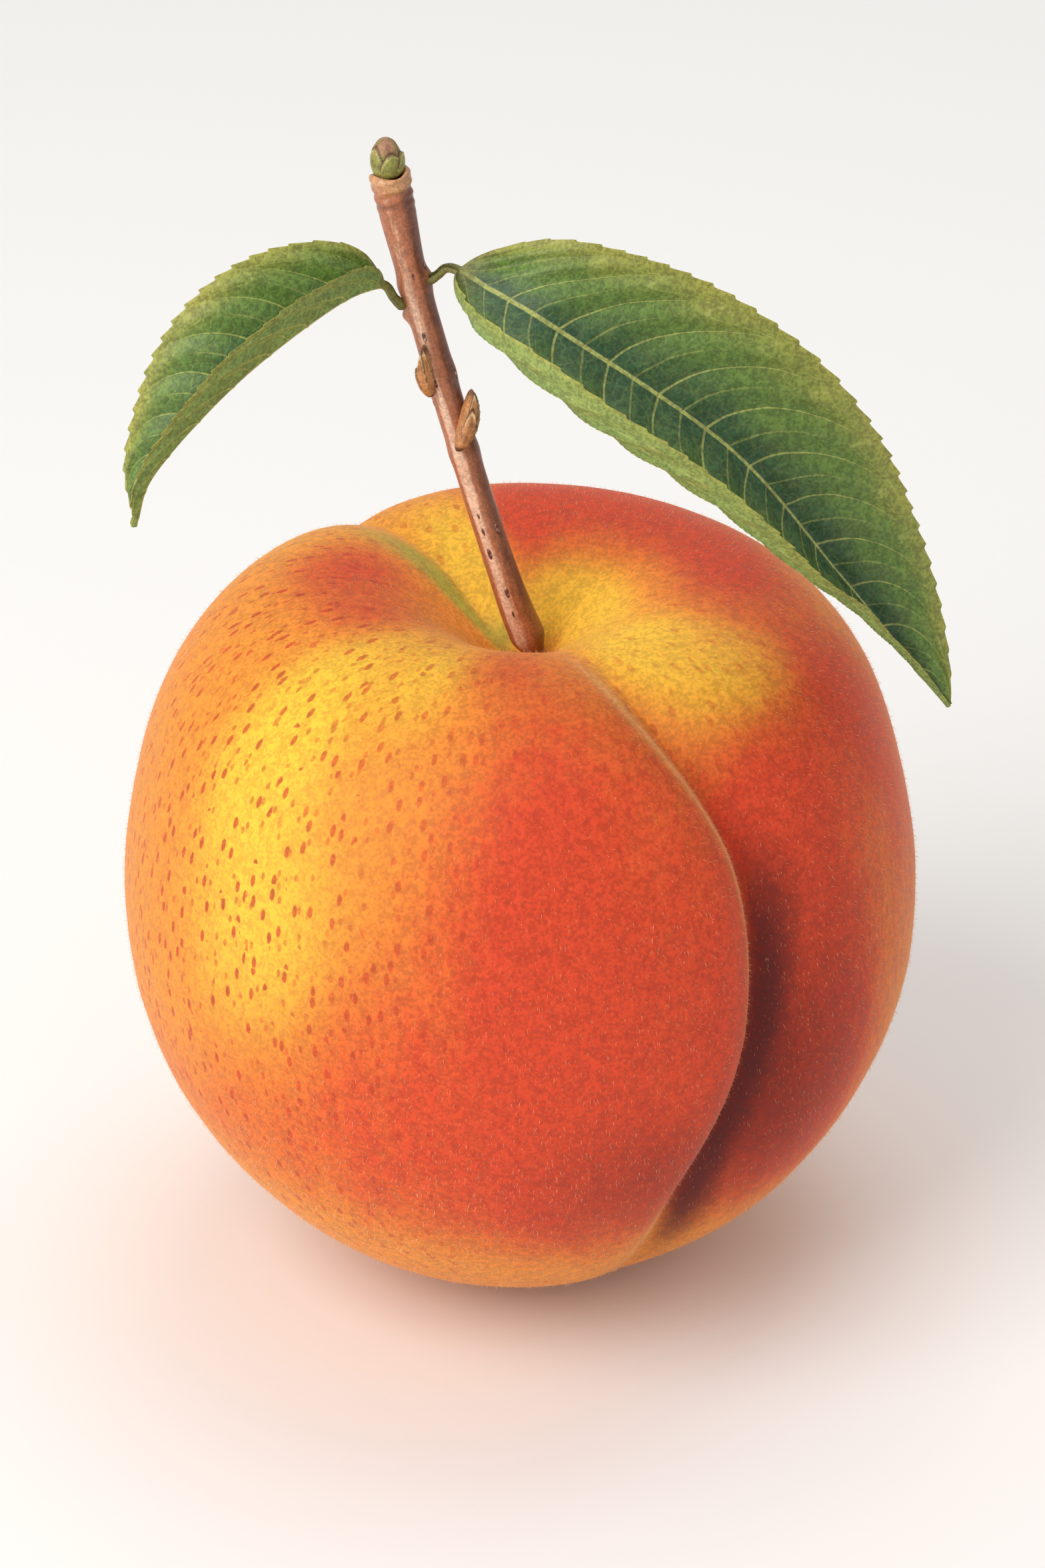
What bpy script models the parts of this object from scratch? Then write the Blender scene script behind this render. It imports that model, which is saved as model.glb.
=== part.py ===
"""A ripe peach as picked: the fruit on its short woody twig, with two leaves and three buds.

Run it with:  blender --background --python part.py

Units are metres and +Z is up. The origin is the middle of the small flat spot that the fruit stands on.
-Y is the front. The suture, the cleft between the fruit's two lobes, runs down the front right.
Each piece is one closed solid and one object. A piece stands CLEARANCE off the one that carries it.
"""

import math

import bmesh
import bpy
import numpy as np

MM = 0.001
CLEARANCE = 0.35 * MM
SHARP_ANGLE = math.radians(50)

# Fruit. Polar angles are measured at its centre, from the twig end at 0 to the flat spot at 180 degrees.
# A pair of angles is where something starts and where it is complete.
FRUIT_RADIUS = 39.8 * MM
CENTRE_HEIGHT = 39.8 * MM
SHOULDER_RISE = 2.7 * MM
SHOULDER_POLAR = math.radians(48)
SHOULDER_SPREAD = math.radians(21)
TIP_RISE = 1.0 * MM
TIP_ANGLES = (math.radians(115), math.radians(165))
CAVITY_DEPTH = 16.0 * MM
CAVITY_SPREAD = math.radians(17.5)
CAVITY_POWER = 1.6

# The cleft runs down the front along SUTURE_PATH, given as polar angle and direction in degrees.
# Its near side is a round lip and its far side a slacker wall. A shallower cleft runs down the back.
SUTURE_DIRECTION = math.radians(-54)
SUTURE_PATH = [(0, -66), (35, -59), (60, -50), (85, -50), (120, -60), (180, -60)]
CLEFT_DEPTH = 5.6 * MM
CLEFT_START = (math.radians(6), math.radians(58))
CLEFT_END = (math.radians(100), math.radians(160))
CLEFT_LIP_WIDTH = 3.2 * MM
CLEFT_LIP_POWER = 1.5
CLEFT_WALL_WIDTH = 5.6 * MM
CLEFT_WALL_POWER = 1.15
BACK_CLEFT_DEPTH = 3.8 * MM
BACK_CLEFT_WIDTH = 4.4 * MM
BACK_CLEFT_START = (math.radians(4), math.radians(18))
BACK_CLEFT_FADE = 0.6
BACK_CLEFT_FADE_ANGLES = (math.radians(24), math.radians(50))
HALF_FRUIT = (-0.2, 0.4)
FRUIT_COLUMNS = 72
FRUIT_ROWS = 40
COLUMN_CROWDING = 0.6
ROW_CROWDING = 1.12

# Twig. Its path runs from the floor of the cavity to the collar under the end bud, and places along it are
# fractions of its length. A node is a place and how far the bark swells there, in millimetres.
TWIG_PATH = [(1.5, 0, 66.5), (-1, 0, 73.5), (-5, 0.5, 87), (-10, 1.5, 105.5), (-12.5, 2, 117.5)]
TWIG_RADIUS = 1.45 * MM
TWIG_FOOT_RADIUS = 1.0 * MM
TWIG_FOOT_END = 0.05
TWIG_BASE_SWELL = 0.35 * MM
TWIG_BASE_REACH = 0.14
TWIG_COLLAR_SWELL = 0.40 * MM
TWIG_COLLAR = (0.78, 0.98)
TWIG_NODES = [(0.44, 0.12), (0.60, 0.12), (0.78, 0.22)]
TWIG_NODE_REACH = 0.022
TWIG_END_DEPTH = 0.3 * MM
TWIG_RINGS = 44
TWIG_SIDES = 18
TWIG_SAMPLES = 400

# Buds. A size is length and width, and for a side bud its depth off the twig too. A form is two powers.
# A lower first one puts the bud's widest place nearer its foot, and a lower second one blunts its ends.
END_BUD_SIZE = (3.3 * MM, 3.4 * MM)
END_BUD_FORM = (0.75, 0.40)
LEFT_BUD_SIZE = (5.4 * MM, 1.7 * MM, 1.8 * MM)
RIGHT_BUD_SIZE = (6.0 * MM, 2.1 * MM, 1.9 * MM)
SIDE_BUD_FORM = (0.75, 0.8)
SIDE_BUD_STAND_OFF = 0.22
BUD_ROWS = 12
BUD_SIDES = 14

# Leaves. A path starts beside the twig, runs along the petiole and then the midrib to the tip.
LEAF_THICKNESS = 0.40 * MM
LEAF_EDGE_POWER = 6
SMALLEST_WIDTH = 0.45
PETIOLE_RADIUS = 0.45 * MM
PETIOLE_TAPER = 0.7
PETIOLE_END = (0.04, 0.10)
RIB_WIDTH = 0.09
TIP_THINNESS = 0.4
TIP_THICKENING = 6
LEAF_STATIONS = 34
LEAF_ACROSS = 14


# ---------------------------------------------------------------- Shared geometry

def along_spline(points, count):
    """count points, evenly spaced along a smooth curve through points given in millimetres."""
    knots = np.array(points, float) * MM
    padded = np.vstack([2 * knots[0] - knots[1], knots, 2 * knots[-1] - knots[-2]])
    dense = []
    for a, b, c, d in zip(padded, padded[1:], padded[2:], padded[3:]):
        t = np.linspace(0, 1, 40, endpoint=False)[:, None]
        dense.append(0.5 * (2 * b + (c - a) * t + (2 * a - 5 * b + 4 * c - d) * t**2
                            + (3 * b - a - 3 * c + d) * t**3))
    dense = np.vstack(dense + [knots[-1:]])
    travelled = np.concatenate([[0], np.cumsum(np.linalg.norm(np.diff(dense, axis=0), axis=1))])
    wanted = np.linspace(0, travelled[-1], count)
    return np.stack([np.interp(wanted, travelled, dense[:, k]) for k in range(3)], 1)


def unit(vectors):
    return vectors / np.linalg.norm(vectors, axis=-1, keepdims=True)


def ease(value, ends):
    """0 at the first of the two ends and 1 at the second, with a smooth rise between them."""
    start, end = ends
    t = np.clip((value - start) / (end - start), 0, 1)
    return t * t * (3 - 2 * t)


def read_curve(knots, at):
    """Reads a smooth curve through knots, each a place and a value or a vector, at each place in at."""
    places = np.array([knot[0] for knot in knots], float)
    values = np.array([knot[1] for knot in knots], float)
    slopes = np.gradient(values, places, axis=0)
    low = np.clip(np.searchsorted(places, at, side="right") - 1, 0, len(places) - 2)
    span = places[low + 1] - places[low]
    t = (at - places[low]) / span
    if values.ndim > 1:
        t, span = t[:, None], span[:, None]
    return ((2 * t**3 - 3 * t**2 + 1) * values[low] + (t**3 - 2 * t**2 + t) * span * slopes[low]
            + (3 * t**2 - 2 * t**3) * values[low + 1] + (t**3 - t**2) * span * slopes[low + 1])


def make_object(name, points, faces, material):
    """A closed, smooth-shaded solid whose faces point outwards."""
    mesh = bpy.data.meshes.new(name)
    mesh.from_pydata(points.tolist(), [], faces)
    solid = bmesh.new()
    solid.from_mesh(mesh)
    bmesh.ops.recalc_face_normals(solid, faces=solid.faces)
    solid.to_mesh(mesh)
    solid.free()
    mesh.materials.append(material)
    mesh.shade_smooth()
    mesh.set_sharp_from_angle(angle=SHARP_ANGLE)
    bpy.context.scene.collection.objects.link(bpy.data.objects.new(name, mesh))


def ring_faces(rings, sides):
    """Quads between neighbouring rings, and a fan at each end to the two points that follow the rings."""
    faces = []
    for i in range(rings - 1):
        for j in range(sides):
            k = (j + 1) % sides
            faces.append((i * sides + j, i * sides + k, (i + 1) * sides + k, (i + 1) * sides + j))
    first, last = rings * sides, rings * sides + 1
    top = (rings - 1) * sides
    for j in range(sides):
        k = (j + 1) % sides
        faces.append((first, k, j))
        faces.append((last, top + j, top + k))
    return faces


def make_material(name, colour, roughness):
    material = bpy.data.materials.new(name)
    material.use_nodes = True
    shader = material.node_tree.nodes["Principled BSDF"]
    shader.inputs["Base Color"].default_value = (*colour, 1)
    shader.inputs["Roughness"].default_value = roughness
    shader.inputs["Metallic"].default_value = 0
    return material


# ---------------------------------------------------------------- Fruit

def fruit_radius(polar, around):
    """Distance from the fruit's centre to its skin, in each direction."""
    shoulder = SHOULDER_RISE * np.exp(-((polar - SHOULDER_POLAR) / SHOULDER_SPREAD) ** 2)
    tip = TIP_RISE * ease(polar, TIP_ANGLES)
    cavity = CAVITY_DEPTH * np.exp(-(polar / CAVITY_SPREAD) ** CAVITY_POWER)
    plump = FRUIT_RADIUS + shoulder + tip - cavity
    fade_out = 1 - ease(polar, CLEFT_END)
    turn = around - np.radians(read_curve(SUTURE_PATH, np.degrees(polar)))
    offset = plump * np.sin(polar) * np.sin(turn)
    lip = np.exp(-(np.abs(offset) / CLEFT_LIP_WIDTH) ** CLEFT_LIP_POWER)
    wall = np.exp(-(np.abs(offset) / CLEFT_WALL_WIDTH) ** CLEFT_WALL_POWER)
    front = CLEFT_DEPTH * ease(polar, CLEFT_START) * np.where(offset < 0, lip, wall)
    front = front * ease(np.cos(turn), HALF_FRUIT)
    turn = around - SUTURE_DIRECTION - math.pi
    offset = plump * np.sin(polar) * np.sin(turn)
    back = BACK_CLEFT_DEPTH * ease(polar, BACK_CLEFT_START)
    back = back * (1 - BACK_CLEFT_FADE * ease(polar, BACK_CLEFT_FADE_ANGLES))
    back = back * np.exp(-(np.abs(offset) / BACK_CLEFT_WIDTH) ** CLEFT_WALL_POWER)
    back = back * ease(np.cos(turn), HALF_FRUIT)
    return plump - (front + back) * fade_out


def fruit_points(polar, around):
    radius = fruit_radius(polar, around)
    level = radius * np.cos(polar) + CENTRE_HEIGHT
    return np.stack([radius * np.sin(polar) * np.cos(around),
                     radius * np.sin(polar) * np.sin(around),
                     np.maximum(level, 0)], -1)


def make_fruit(material):
    step = np.arange(FRUIT_COLUMNS) * 2 * math.pi / FRUIT_COLUMNS
    around = SUTURE_DIRECTION + step - COLUMN_CROWDING * np.sin(2 * step) / 2
    polar = math.pi * (np.arange(1, FRUIT_ROWS) / FRUIT_ROWS) ** ROW_CROWDING
    rings = fruit_points(polar[:, None], around[None, :])
    ends = fruit_points(np.array([0.0, math.pi]), np.zeros(2))
    points = np.vstack([rings.reshape(-1, 3), ends])
    make_object("fruit", points, ring_faces(FRUIT_ROWS - 1, FRUIT_COLUMNS), material)


# ---------------------------------------------------------------- Twig and buds

def twig_frame(count):
    """Points along the twig with their tangents and two directions across it."""
    path = along_spline(TWIG_PATH, count)
    tangent = unit(np.gradient(path, axis=0))
    side = unit(np.cross(np.array([0.0, 1.0, 0.0]), tangent))
    return path, tangent, side, np.cross(tangent, side)


def twig_radius(fraction):
    foot = ease(fraction, (0, TWIG_FOOT_END))
    swell = TWIG_BASE_SWELL * np.exp(-(fraction / TWIG_BASE_REACH) ** 2)
    collar = TWIG_COLLAR_SWELL * ease(fraction, TWIG_COLLAR)
    nodes = sum(rise * MM * np.exp(-((fraction - place) / TWIG_NODE_REACH) ** 2)
                for place, rise in TWIG_NODES)
    return TWIG_FOOT_RADIUS * (1 - foot) + foot * (TWIG_RADIUS + swell + collar + nodes)


def make_twig(material):
    path, tangent, side, front = twig_frame(TWIG_RINGS)
    radius = twig_radius(np.linspace(0, 1, TWIG_RINGS))
    turn = np.arange(TWIG_SIDES) * 2 * math.pi / TWIG_SIDES
    rings = path[:, None] + radius[:, None, None] * (np.cos(turn)[None, :, None] * side[:, None]
                                                     + np.sin(turn)[None, :, None] * front[:, None])
    ends = [path[0] - TWIG_END_DEPTH * tangent[0], path[-1] - TWIG_END_DEPTH * tangent[-1]]
    points = np.vstack([rings.reshape(-1, 3), ends])
    make_object("twig", points, ring_faces(TWIG_RINGS, TWIG_SIDES), material)


def bud_shape(length, width, rows, sides, foot_fullness, bluntness):
    """Rings of a bud along +Z from 0 to length, then its two end points."""
    fraction = (1 - np.cos(np.linspace(0, math.pi, rows + 2)[1:-1])) / 2
    radius = width / 2 * np.sin(math.pi * fraction**foot_fullness) ** bluntness
    turn = np.arange(sides) * 2 * math.pi / sides
    x = radius[:, None] * np.cos(turn)
    y = radius[:, None] * np.sin(turn)
    z = np.broadcast_to(fraction[:, None] * length, x.shape)
    rings = np.stack([x, y, z], -1).reshape(-1, 3)
    return np.vstack([rings, [(0, 0, 0), (0, 0, length)]])


def clear_of_twig(points):
    """Moves each point that is in the twig, or too near it, straight out from its axis."""
    path, tangent, _, _ = twig_frame(TWIG_SAMPLES)
    reach = twig_radius(np.linspace(0, 1, TWIG_SAMPLES)) + CLEARANCE
    moved = points.copy()
    for i, point in enumerate(points):
        near = np.argmin(np.linalg.norm(path - point, axis=1))
        offset = point - path[near]
        offset -= tangent[near] * (offset @ tangent[near])
        gap = np.linalg.norm(offset)
        if gap < reach[near]:
            moved[i] = point + offset / gap * (reach[near] - gap)
    return moved


def make_side_bud(name, place, turn, lean, size, material):
    """A bud that lies along the twig at a fraction of its length. turn is its direction round the twig,
    from the front towards the right, and lean tips it across the twig."""
    length, width, depth = size
    path, tangent, side, front = twig_frame(TWIG_SAMPLES)
    index = round(place * (TWIG_SAMPLES - 1))
    outward = -front[index] * math.cos(turn) + side[index] * math.sin(turn)
    along = unit(tangent[index] * math.cos(lean) + np.cross(outward, tangent[index]) * math.sin(lean))
    across = np.cross(along, outward)
    bud = bud_shape(length, 1.0, BUD_ROWS, BUD_SIDES, *SIDE_BUD_FORM)
    stand_off = twig_radius(np.array([place]))[0] + CLEARANCE + depth * SIDE_BUD_STAND_OFF
    centre = path[index] + outward * stand_off
    points = (centre + across * bud[:, :1] * width + outward * bud[:, 1:2] * depth
              + along * (bud[:, 2:] - length / 2))
    make_object(name, clear_of_twig(points), ring_faces(BUD_ROWS, BUD_SIDES), material)


def make_end_bud(material):
    path, tangent, side, front = twig_frame(TWIG_SAMPLES)
    bud = bud_shape(*END_BUD_SIZE, BUD_ROWS, BUD_SIDES, *END_BUD_FORM)
    foot = path[-1] + tangent[-1] * CLEARANCE
    points = foot + side[-1] * bud[:, :1] + front[-1] * bud[:, 1:2] + tangent[-1] * bud[:, 2:]
    make_object("end_bud", points, ring_faces(BUD_ROWS, BUD_SIDES), material)


# ---------------------------------------------------------------- Leaves

# Each half of a blade swells from the petiole to its full width and narrows to the tip. Its outline is that
# width in millimetres and two powers: the first fills out the base and the second the tip, where lower is
# fuller. Facings and angles are given at the base, the middle and the tip. Angles are in degrees: how far the
# half rises off the leaf's plane beside the midrib, and at its margin.
RIGHT_LEAF = {
    "path": [(-8, 0.5, 107.5), (-6.5, -1, 109), (-3, -3.5, 108), (4, -7, 105), (20, -8.5, 93.5), (31, -7, 79),
             (42, -6, 64)],
    "petiole": 0.05,
    "far_outline": (12.0, 0.6, 0.8),
    "near_outline": (15.5, 0.7, 1.4),
    "facing": [(0, -0.3, 1), (0, -0.7, 0.7), (0.3, -0.8, 0.6)],
    "far_tilt": (20, 16, 10),
    "far_curl": (50, 35, 15),
    "near_tilt": (-30, 12, 60),
    "near_curl": (110, 120, 100),
    "curl_power": 1.3,
}
LEFT_LEAF = {
    "path": [(-12, 0.5, 105), (-13.5, -0.5, 107), (-18, -4, 106.5), (-27, -9, 101), (-35, -10.5, 92),
             (-37, -9, 85.5)],
    "petiole": 0.06,
    "far_outline": (8.4, 0.7, 1.2),
    "near_outline": (6.6, 0.7, 1.2),
    "facing": [(0.2, 0, 1), (-0.5, -0.1, 0.8), (-1, -0.1, 0.3)],
    "far_tilt": (72, 66, 54),
    "far_curl": (55, 62, 50),
    "near_tilt": (60, 36, 36),
    "near_curl": (80, 60, 45),
    "curl_power": 1.6,
}


def along_leaf(values, fraction):
    """Reads values, given at the base, the middle and the tip, at each fraction of the length."""
    return read_curve(list(zip((0, 0.5, 1), values)), fraction)


def half_width(leaf, kind, fraction):
    """From the midrib to the margin, measured over the surface."""
    width, base, tip = leaf[kind + "_outline"]
    share = np.clip((fraction - leaf["petiole"]) / (1 - leaf["petiole"]), 0, 1)
    widest = base / (base + tip)
    swell = (share / widest) ** base * ((1 - share) / (1 - widest)) ** tip
    return np.maximum(width * swell, SMALLEST_WIDTH) * MM


def half_blade(leaf, fraction, q, frame, far):
    """Points and upward normals of one half of the blade, from the midrib at q 0 to the margin at q 1."""
    facing, across = frame
    kind = "far" if far else "near"
    width = half_width(leaf, kind, fraction)
    tilt = np.radians(along_leaf(leaf[kind + "_tilt"], fraction))
    curl = np.radians(along_leaf(leaf[kind + "_curl"], fraction))
    angle = tilt[:, None] + (curl - tilt)[:, None] * q[None, :] ** leaf["curl_power"]
    sign = 1 if far else -1
    heading = sign * np.cos(angle)[..., None] * across[:, None] + np.sin(angle)[..., None] * facing[:, None]
    normal = -sign * np.sin(angle)[..., None] * across[:, None] + np.cos(angle)[..., None] * facing[:, None]
    steps = (heading[:, 1:] + heading[:, :-1]) / 2 * np.diff(q)[None, :, None]
    travel = np.concatenate([np.zeros_like(steps[:, :1]), np.cumsum(steps, axis=1)], axis=1)
    return travel * width[:, None, None], normal


def leaf_rings(leaf, stations, across_count):
    """Closed rings across the leaf: the upper side from near margin to far one, then the lower side."""
    path = along_spline(leaf["path"], stations)
    fraction = np.linspace(0, 1, stations)
    tangent = unit(np.gradient(path, axis=0))
    facing = along_leaf(leaf["facing"], fraction)
    facing = unit(facing - tangent * np.sum(facing * tangent, axis=1, keepdims=True))
    across = np.cross(facing, tangent)
    if across[stations // 2, 1] < 0:
        across = -across
    q = np.sin(np.linspace(0, math.pi / 2, across_count // 2 + 1))
    far, far_normal = half_blade(leaf, fraction, q, (facing, across), True)
    near, near_normal = half_blade(leaf, fraction, q, (facing, across), False)
    spine = np.concatenate([near[:, :0:-1], far], axis=1) + path[:, None]
    normal = np.concatenate([near_normal[:, :0:-1], far_normal], axis=1)
    normal[:, len(q) - 1] = facing
    q_all = np.concatenate([-q[:0:-1], q])
    is_blade = ease(fraction, PETIOLE_END)[:, None]
    stem = PETIOLE_RADIUS * (1 - PETIOLE_TAPER * fraction[:, None])
    round_stem = stem * np.sqrt(1 - q_all**2)
    thinning = np.minimum(1, TIP_THINNESS + TIP_THICKENING * (1 - fraction[:, None]))
    flat = LEAF_THICKNESS / 2 * np.sqrt(1 - np.abs(q_all) ** LEAF_EDGE_POWER) * thinning
    rib = stem * np.exp(-(q_all / RIB_WIDTH) ** 2)
    above = round_stem * (1 - is_blade) + flat * is_blade
    below = round_stem * (1 - is_blade) + (flat + rib) * is_blade
    upper = spine + normal * above[..., None]
    lower = spine - normal * below[..., None]
    rings = np.concatenate([upper, lower[:, -2:0:-1]], axis=1)
    return rings, path


def make_leaf(name, leaf, material):
    rings, path = leaf_rings(leaf, LEAF_STATIONS, LEAF_ACROSS)
    points = np.vstack([rings.reshape(-1, 3), path[:1], path[-1:]])
    make_object(name, points, ring_faces(rings.shape[0], rings.shape[1]), material)


# ---------------------------------------------------------------- Assembly

def clear_scene():
    for obj in list(bpy.data.objects):
        bpy.data.objects.remove(obj, do_unlink=True)


def main():
    clear_scene()
    skin = make_material("skin", (0.80, 0.22, 0.06), 0.6)
    bark = make_material("bark", (0.33, 0.13, 0.07), 0.55)
    bud_scale = make_material("bud_scale", (0.45, 0.22, 0.08), 0.6)
    green_bud = make_material("green_bud", (0.24, 0.25, 0.06), 0.55)
    leaf_green = make_material("leaf_green", (0.12, 0.24, 0.06), 0.5)
    make_fruit(skin)
    make_twig(bark)
    make_end_bud(green_bud)
    make_side_bud("left_side_bud", 0.622, math.radians(-30), math.radians(-8), LEFT_BUD_SIZE, bud_scale)
    make_side_bud("right_side_bud", 0.510, math.radians(40), math.radians(-36), RIGHT_BUD_SIZE, bud_scale)
    make_leaf("right_leaf", RIGHT_LEAF, leaf_green)
    make_leaf("left_leaf", LEFT_LEAF, leaf_green)


main()
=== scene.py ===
import math

import bmesh
import bpy
import numpy as np
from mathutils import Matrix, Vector


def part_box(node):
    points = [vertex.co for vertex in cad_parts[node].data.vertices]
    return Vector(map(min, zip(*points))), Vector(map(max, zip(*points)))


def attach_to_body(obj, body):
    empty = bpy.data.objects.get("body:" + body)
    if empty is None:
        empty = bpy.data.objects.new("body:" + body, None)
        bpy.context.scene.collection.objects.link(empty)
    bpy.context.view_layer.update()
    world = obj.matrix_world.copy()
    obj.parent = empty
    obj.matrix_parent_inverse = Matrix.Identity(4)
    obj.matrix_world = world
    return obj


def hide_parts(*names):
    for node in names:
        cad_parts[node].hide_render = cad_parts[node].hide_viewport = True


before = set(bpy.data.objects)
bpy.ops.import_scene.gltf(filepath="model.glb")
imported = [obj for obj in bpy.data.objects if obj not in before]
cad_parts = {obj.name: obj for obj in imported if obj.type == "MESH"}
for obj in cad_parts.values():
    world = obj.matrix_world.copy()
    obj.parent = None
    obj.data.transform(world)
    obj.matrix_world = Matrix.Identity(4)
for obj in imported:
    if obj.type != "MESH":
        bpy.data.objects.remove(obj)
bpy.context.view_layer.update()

bl_info = {
    "name": "Peach on its twig",
    "version": (1, 0, 0),
    "blender": (4, 5, 0),
    "location": "3D View > Sidebar > Peach",
    "description": "Builds a ripe peach with its fuzz, twig, buds and leaves around the packed frame",
    "category": "Add Mesh",
}

MM = 0.001
ROOT = "root"

# The fruit stands on the frame's lowest face, and its shape is measured from a centre one radius above it.
FRUIT_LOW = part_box("fruit")[0]
FRUIT_RADIUS = 39.8 * MM
CENTRE_HEIGHT = FRUIT_LOW[2] + FRUIT_RADIUS
SHOULDER_RISE = 2.7 * MM
SHOULDER_POLAR = math.radians(48)
SHOULDER_SPREAD = math.radians(21)
TIP_RISE = 1.0 * MM
TIP_ANGLES = (math.radians(115), math.radians(165))
CAVITY_DEPTH = 16.0 * MM
CAVITY_SPREAD = math.radians(17.5)
CAVITY_POWER = 1.6
SUTURE_DIRECTION = math.radians(-54)
SUTURE_PATH = [(0, -66), (35, -59), (60, -50), (85, -50), (120, -60), (180, -60)]
CLEFT_DEPTH = 5.6 * MM
CLEFT_START = (math.radians(6), math.radians(58))
CLEFT_END = (math.radians(100), math.radians(160))
CLEFT_LIP_WIDTH = 3.2 * MM
CLEFT_LIP_POWER = 1.5
CLEFT_FAR_WIDTH = 5.6 * MM
CLEFT_FAR_POWER = 1.15
BACK_CLEFT_WIDTH = 4.4 * MM
BACK_CLEFT_DEPTH = 3.8 * MM
BACK_CLEFT_START = (math.radians(4), math.radians(18))
BACK_CLEFT_FADE = 0.6
BACK_CLEFT_FADE_ANGLES = (math.radians(24), math.radians(50))
HALF_FRUIT = (-0.2, 0.4)
COLUMN_CROWDING = 0.6
ROW_CROWDING = 1.1
LUMP_HEIGHT = 0.16 * MM
DIMPLE_HEIGHT = 0.05 * MM
UNDERSIDE = (math.radians(116), math.radians(150))

# Soft spots of colour on the fruit: direction round the axis, polar angle, half width round, half height and
# strength. Directions and angles are in degrees. -90 is the front, 0 the right, and polar 0 is the twig end.
RED_SPOTS = [
    (-84, 70, 24, 50, 1.0), (-76, 104, 34, 24, 0.85), (-40, 82, 15, 34, 0.95), (-16, 51, 20, 13, 0.85),
    (-43, 57, 14, 12, 0.9), (-63, 76, 11, 36, 0.8), (-44, 108, 18, 24, 0.9), (-12, 66, 17, 26, 0.75),
    (22, 32, 42, 11, 0.9), (62, 32, 32, 13, 0.9), (88, 28, 18, 12, 1.0), (168, 26, 26, 11, 0.75),
    (-160, 24, 20, 9, 0.65), (-112, 92, 20, 26, 0.55), (-140, 108, 34, 17, 0.5), (45, 78, 40, 34, 0.75),
    (95, 70, 24, 26, 0.55), (160, 105, 22, 26, 0.35), (-98, 26, 12, 9, 0.4),
]
GOLD_SPOTS = [
    (-138, 46, 14, 26, 0.95), (-128, 74, 15, 18, 0.7), (-116, 30, 14, 12, 0.7), (-42, 26, 24, 11, 1.0),
    (-6, 13, 50, 6, 1.0), (56, 12, 46, 6, 1.0), (112, 20, 19, 15, 1.0), (140, 62, 26, 30, 0.7),
    (-32, 38, 18, 8, 1.0),
]
OLIVE_SPOTS = [
    (136, 19, 11, 15, 1.0), (116, 8, 26, 5, 0.7), (-150, 9, 40, 4, 0.5),
]
# Painted shade in dark red: on the lower front, along the far wall of the cleft in the lip's shadow, and a
# faint patch near the cavity.
PAINTED_SHADE_SPOTS = [
    (-70, 108, 23, 18, 0.65), (-47, 100, 10, 26, 0.85), (-36, 90, 9, 34, 0.5), (-20, 80, 9, 16, 0.25),
    (88, 30, 8, 7, 0.3),
]
SPECKLE_SPOTS = [(-140, 75, 34, 60, 1.0), (180, 30, 26, 18, 1.0)]

# The twig's path, from the floor of the cavity to the collar under the end bud, in millimetres.
TWIG_PATH = [(1.5, 0, 66.5), (-1, 0, 73.5), (-5, 0.5, 87), (-10, 1.5, 105.5), (-12.5, 2, 117.5)]
TWIG_RADIUS = 1.45 * MM
TWIG_FOOT_RADIUS = 1.0 * MM
TWIG_BASE_SWELL = 0.35 * MM
TWIG_COLLAR_SWELL = 0.40 * MM
TWIG_COLLAR = (0.78, 0.98)
TWIG_FOOT_END = 0.05
TWIG_BASE_REACH = 0.14
TWIG_NODES = [(0.44, 0.12 * MM), (0.60, 0.12 * MM), (0.78, 0.22 * MM)]
TWIG_NODE_REACH = 0.022
# The cushions that the petioles stand on: place along the twig, direction in degrees, rise
CUSHIONS = [(0.725, 180, 0.50 * MM), (0.795, 350, 0.30 * MM)]
CUSHION_REACH = 0.014
CUSHION_SPREAD = 26
# The cup inside the collar, ring by ring: how much smaller each is, and how far it has sunk, in millimetres
CUP_RINGS = [(0.90, -0.06), (0.78, 0.10), (0.62, 0.42), (0.40, 0.60), (0.18, 0.68)]

# Each scale of a bud is a direction round it in radians, a half width in radians, and the height of its tip.
END_BUD_LENGTH = 4.1 * MM
END_BUD_WIDTH = 2.9 * MM
END_BUD_SINK = 0.55 * MM
END_BUD_SCALES = [
    (math.radians(40), 1.5, 0.92), (math.radians(130), 1.4, 0.88), (math.radians(215), 0.95, 0.84),
    (math.radians(292), 0.90, 0.66), (math.radians(350), 0.8, 0.60),
]
SIDE_BUDS = {
    "left_side_bud": {
        "place": 0.622,
        "turn_out": math.radians(-30),
        "lean": math.radians(-8),
        "size": (5.6 * MM, 1.15 * MM, 1.7 * MM),
        "scales": [(0.9, 1.0, 0.93), (1.5, 0.7, 0.90), (2.7, 0.95, 0.62)],
    },
    "right_side_bud": {
        "place": 0.510,
        "turn_out": math.radians(40),
        "lean": math.radians(-36),
        "size": (6.2 * MM, 1.40 * MM, 1.8 * MM),
        "scales": [(1.6, 0.9, 0.93), (1.9, 0.8, 0.66), (0.2, 0.75, 0.96)],
    },
}

# Each half of a blade swells from the petiole to its full width and narrows to the tip. Its outline is that
# width in millimetres and two powers: the first fills out the base and the second the tip, where lower is
# fuller. Facings and angles are given at the base, the middle and the tip. Angles are in degrees: how far the
# half rises off the leaf's plane beside the midrib, and at its margin.
RIGHT_LEAF = {
    "path": [(-8, 0.5, 107.5), (-6.5, -1, 109), (-3, -3.5, 108), (4, -7, 105), (20, -8.5, 93.5), (31, -7, 79),
             (42, -6, 64)],
    "petiole": 0.05,
    "far_outline": (12.0, 0.6, 0.8),
    "near_outline": (15.5, 0.7, 1.4),
    "facing": [(0, -0.3, 1), (0, -0.7, 0.7), (0.3, -0.8, 0.6)],
    "far_tilt": (20, 16, 10),
    "far_curl": (50, 35, 15),
    "near_tilt": (-30, 12, 60),
    "near_curl": (110, 120, 100),
    "curl_power": 1.3,
    "teeth": 32,
    "veins": 12.0,
}
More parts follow.
